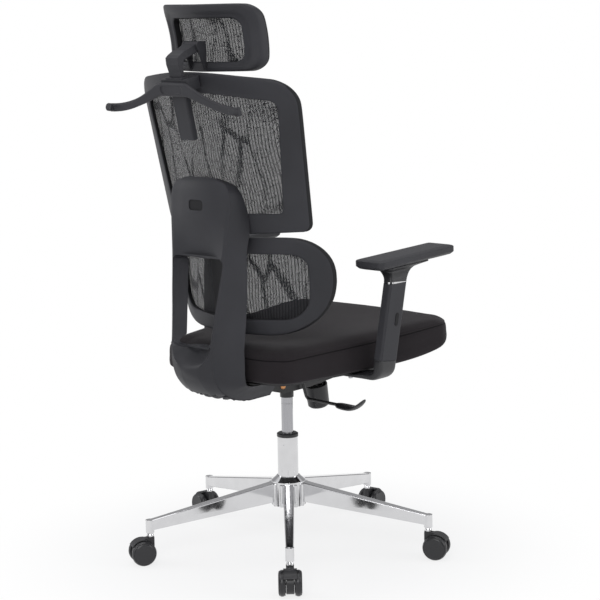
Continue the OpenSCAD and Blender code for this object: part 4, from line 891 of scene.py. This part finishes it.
def fit_plan(obj):
    """Stretches the swollen cushion in plan back to its full width and length."""
    lo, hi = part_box("seat_cushion")
    places = np.array([v.co for v in obj.data.vertices])
    for axis, grow in ((0, 0.0), (1, NOSE_GROWTH)):
        a, b = places[:, axis].min(), places[:, axis].max()
        places[:, axis] = lo[axis] - grow + (places[:, axis] - a) * (hi[axis] - lo[axis] + grow) / (b - a)
    obj.data.vertices.foreach_set("co", places.ravel())


def swell(obj, start):
    """Blows the cover up a little as cloth under pressure, with the underside held."""
    cloth = obj.modifiers.new("swell", "CLOTH")
    settings = cloth.settings
    settings.quality = 5
    settings.mass = 0.3
    settings.tension_stiffness = settings.compression_stiffness = 12
    settings.bending_stiffness = 1.5
    settings.use_pressure = True
    settings.uniform_pressure_force = 6
    settings.vertex_group_mass = "held"
    settings.pin_stiffness = 1.0
    settings.effector_weights.gravity = 0
    cloth.collision_settings.use_collision = False
    cloth.collision_settings.use_self_collision = False
    cloth.point_cache.frame_start, cloth.point_cache.frame_end = 1, SWELL_FRAMES
    for step in range(1, SWELL_FRAMES + 1):
        scene.frame_set(step)
    depsgraph = bpy.context.evaluated_depsgraph_get()
    result = obj.evaluated_get(depsgraph).to_mesh()
    end = np.empty(len(result.vertices) * 3)
    result.vertices.foreach_get("co", end)
    obj.evaluated_get(depsgraph).to_mesh_clear()
    shift = end.reshape(-1, 3) - start
    pairs = np.empty(len(obj.data.edges) * 2, int)
    obj.data.edges.foreach_get("vertices", pairs)
    pairs = pairs.reshape(-1, 2)
    for _ in range(EASE_ROUNDS):
        total, count = np.zeros_like(shift), np.zeros(len(shift))
        for a, b in (pairs.T, pairs[:, ::-1].T):
            np.add.at(total, a, shift[b])
            np.add.at(count, a, 1)
        shift = 0.4 * shift + 0.6 * total / np.maximum(count, 1)[:, None]
    length = np.linalg.norm(shift, axis=1, keepdims=True)
    shift *= np.minimum(1, SWELL_CAP / np.maximum(length, 1e-9))
    obj.modifiers.clear()
    obj.data.vertices.foreach_set("co", (start + shift).ravel())
    scene.frame_set(1)


make_spine()
for side in ("left", "right"):
    make_pad(side + "_arm_pad")
    make_stud(side)
    button = nodes[side + "_arm_button"]
    button.data.materials.clear()
    button.data.materials.append(MATERIALS["dark_plastic_and_painted_shade"])
for name in ("back_mesh", "lumbar_mesh", "headrest_mesh"):
    make_sheet(name)
make_cushion()
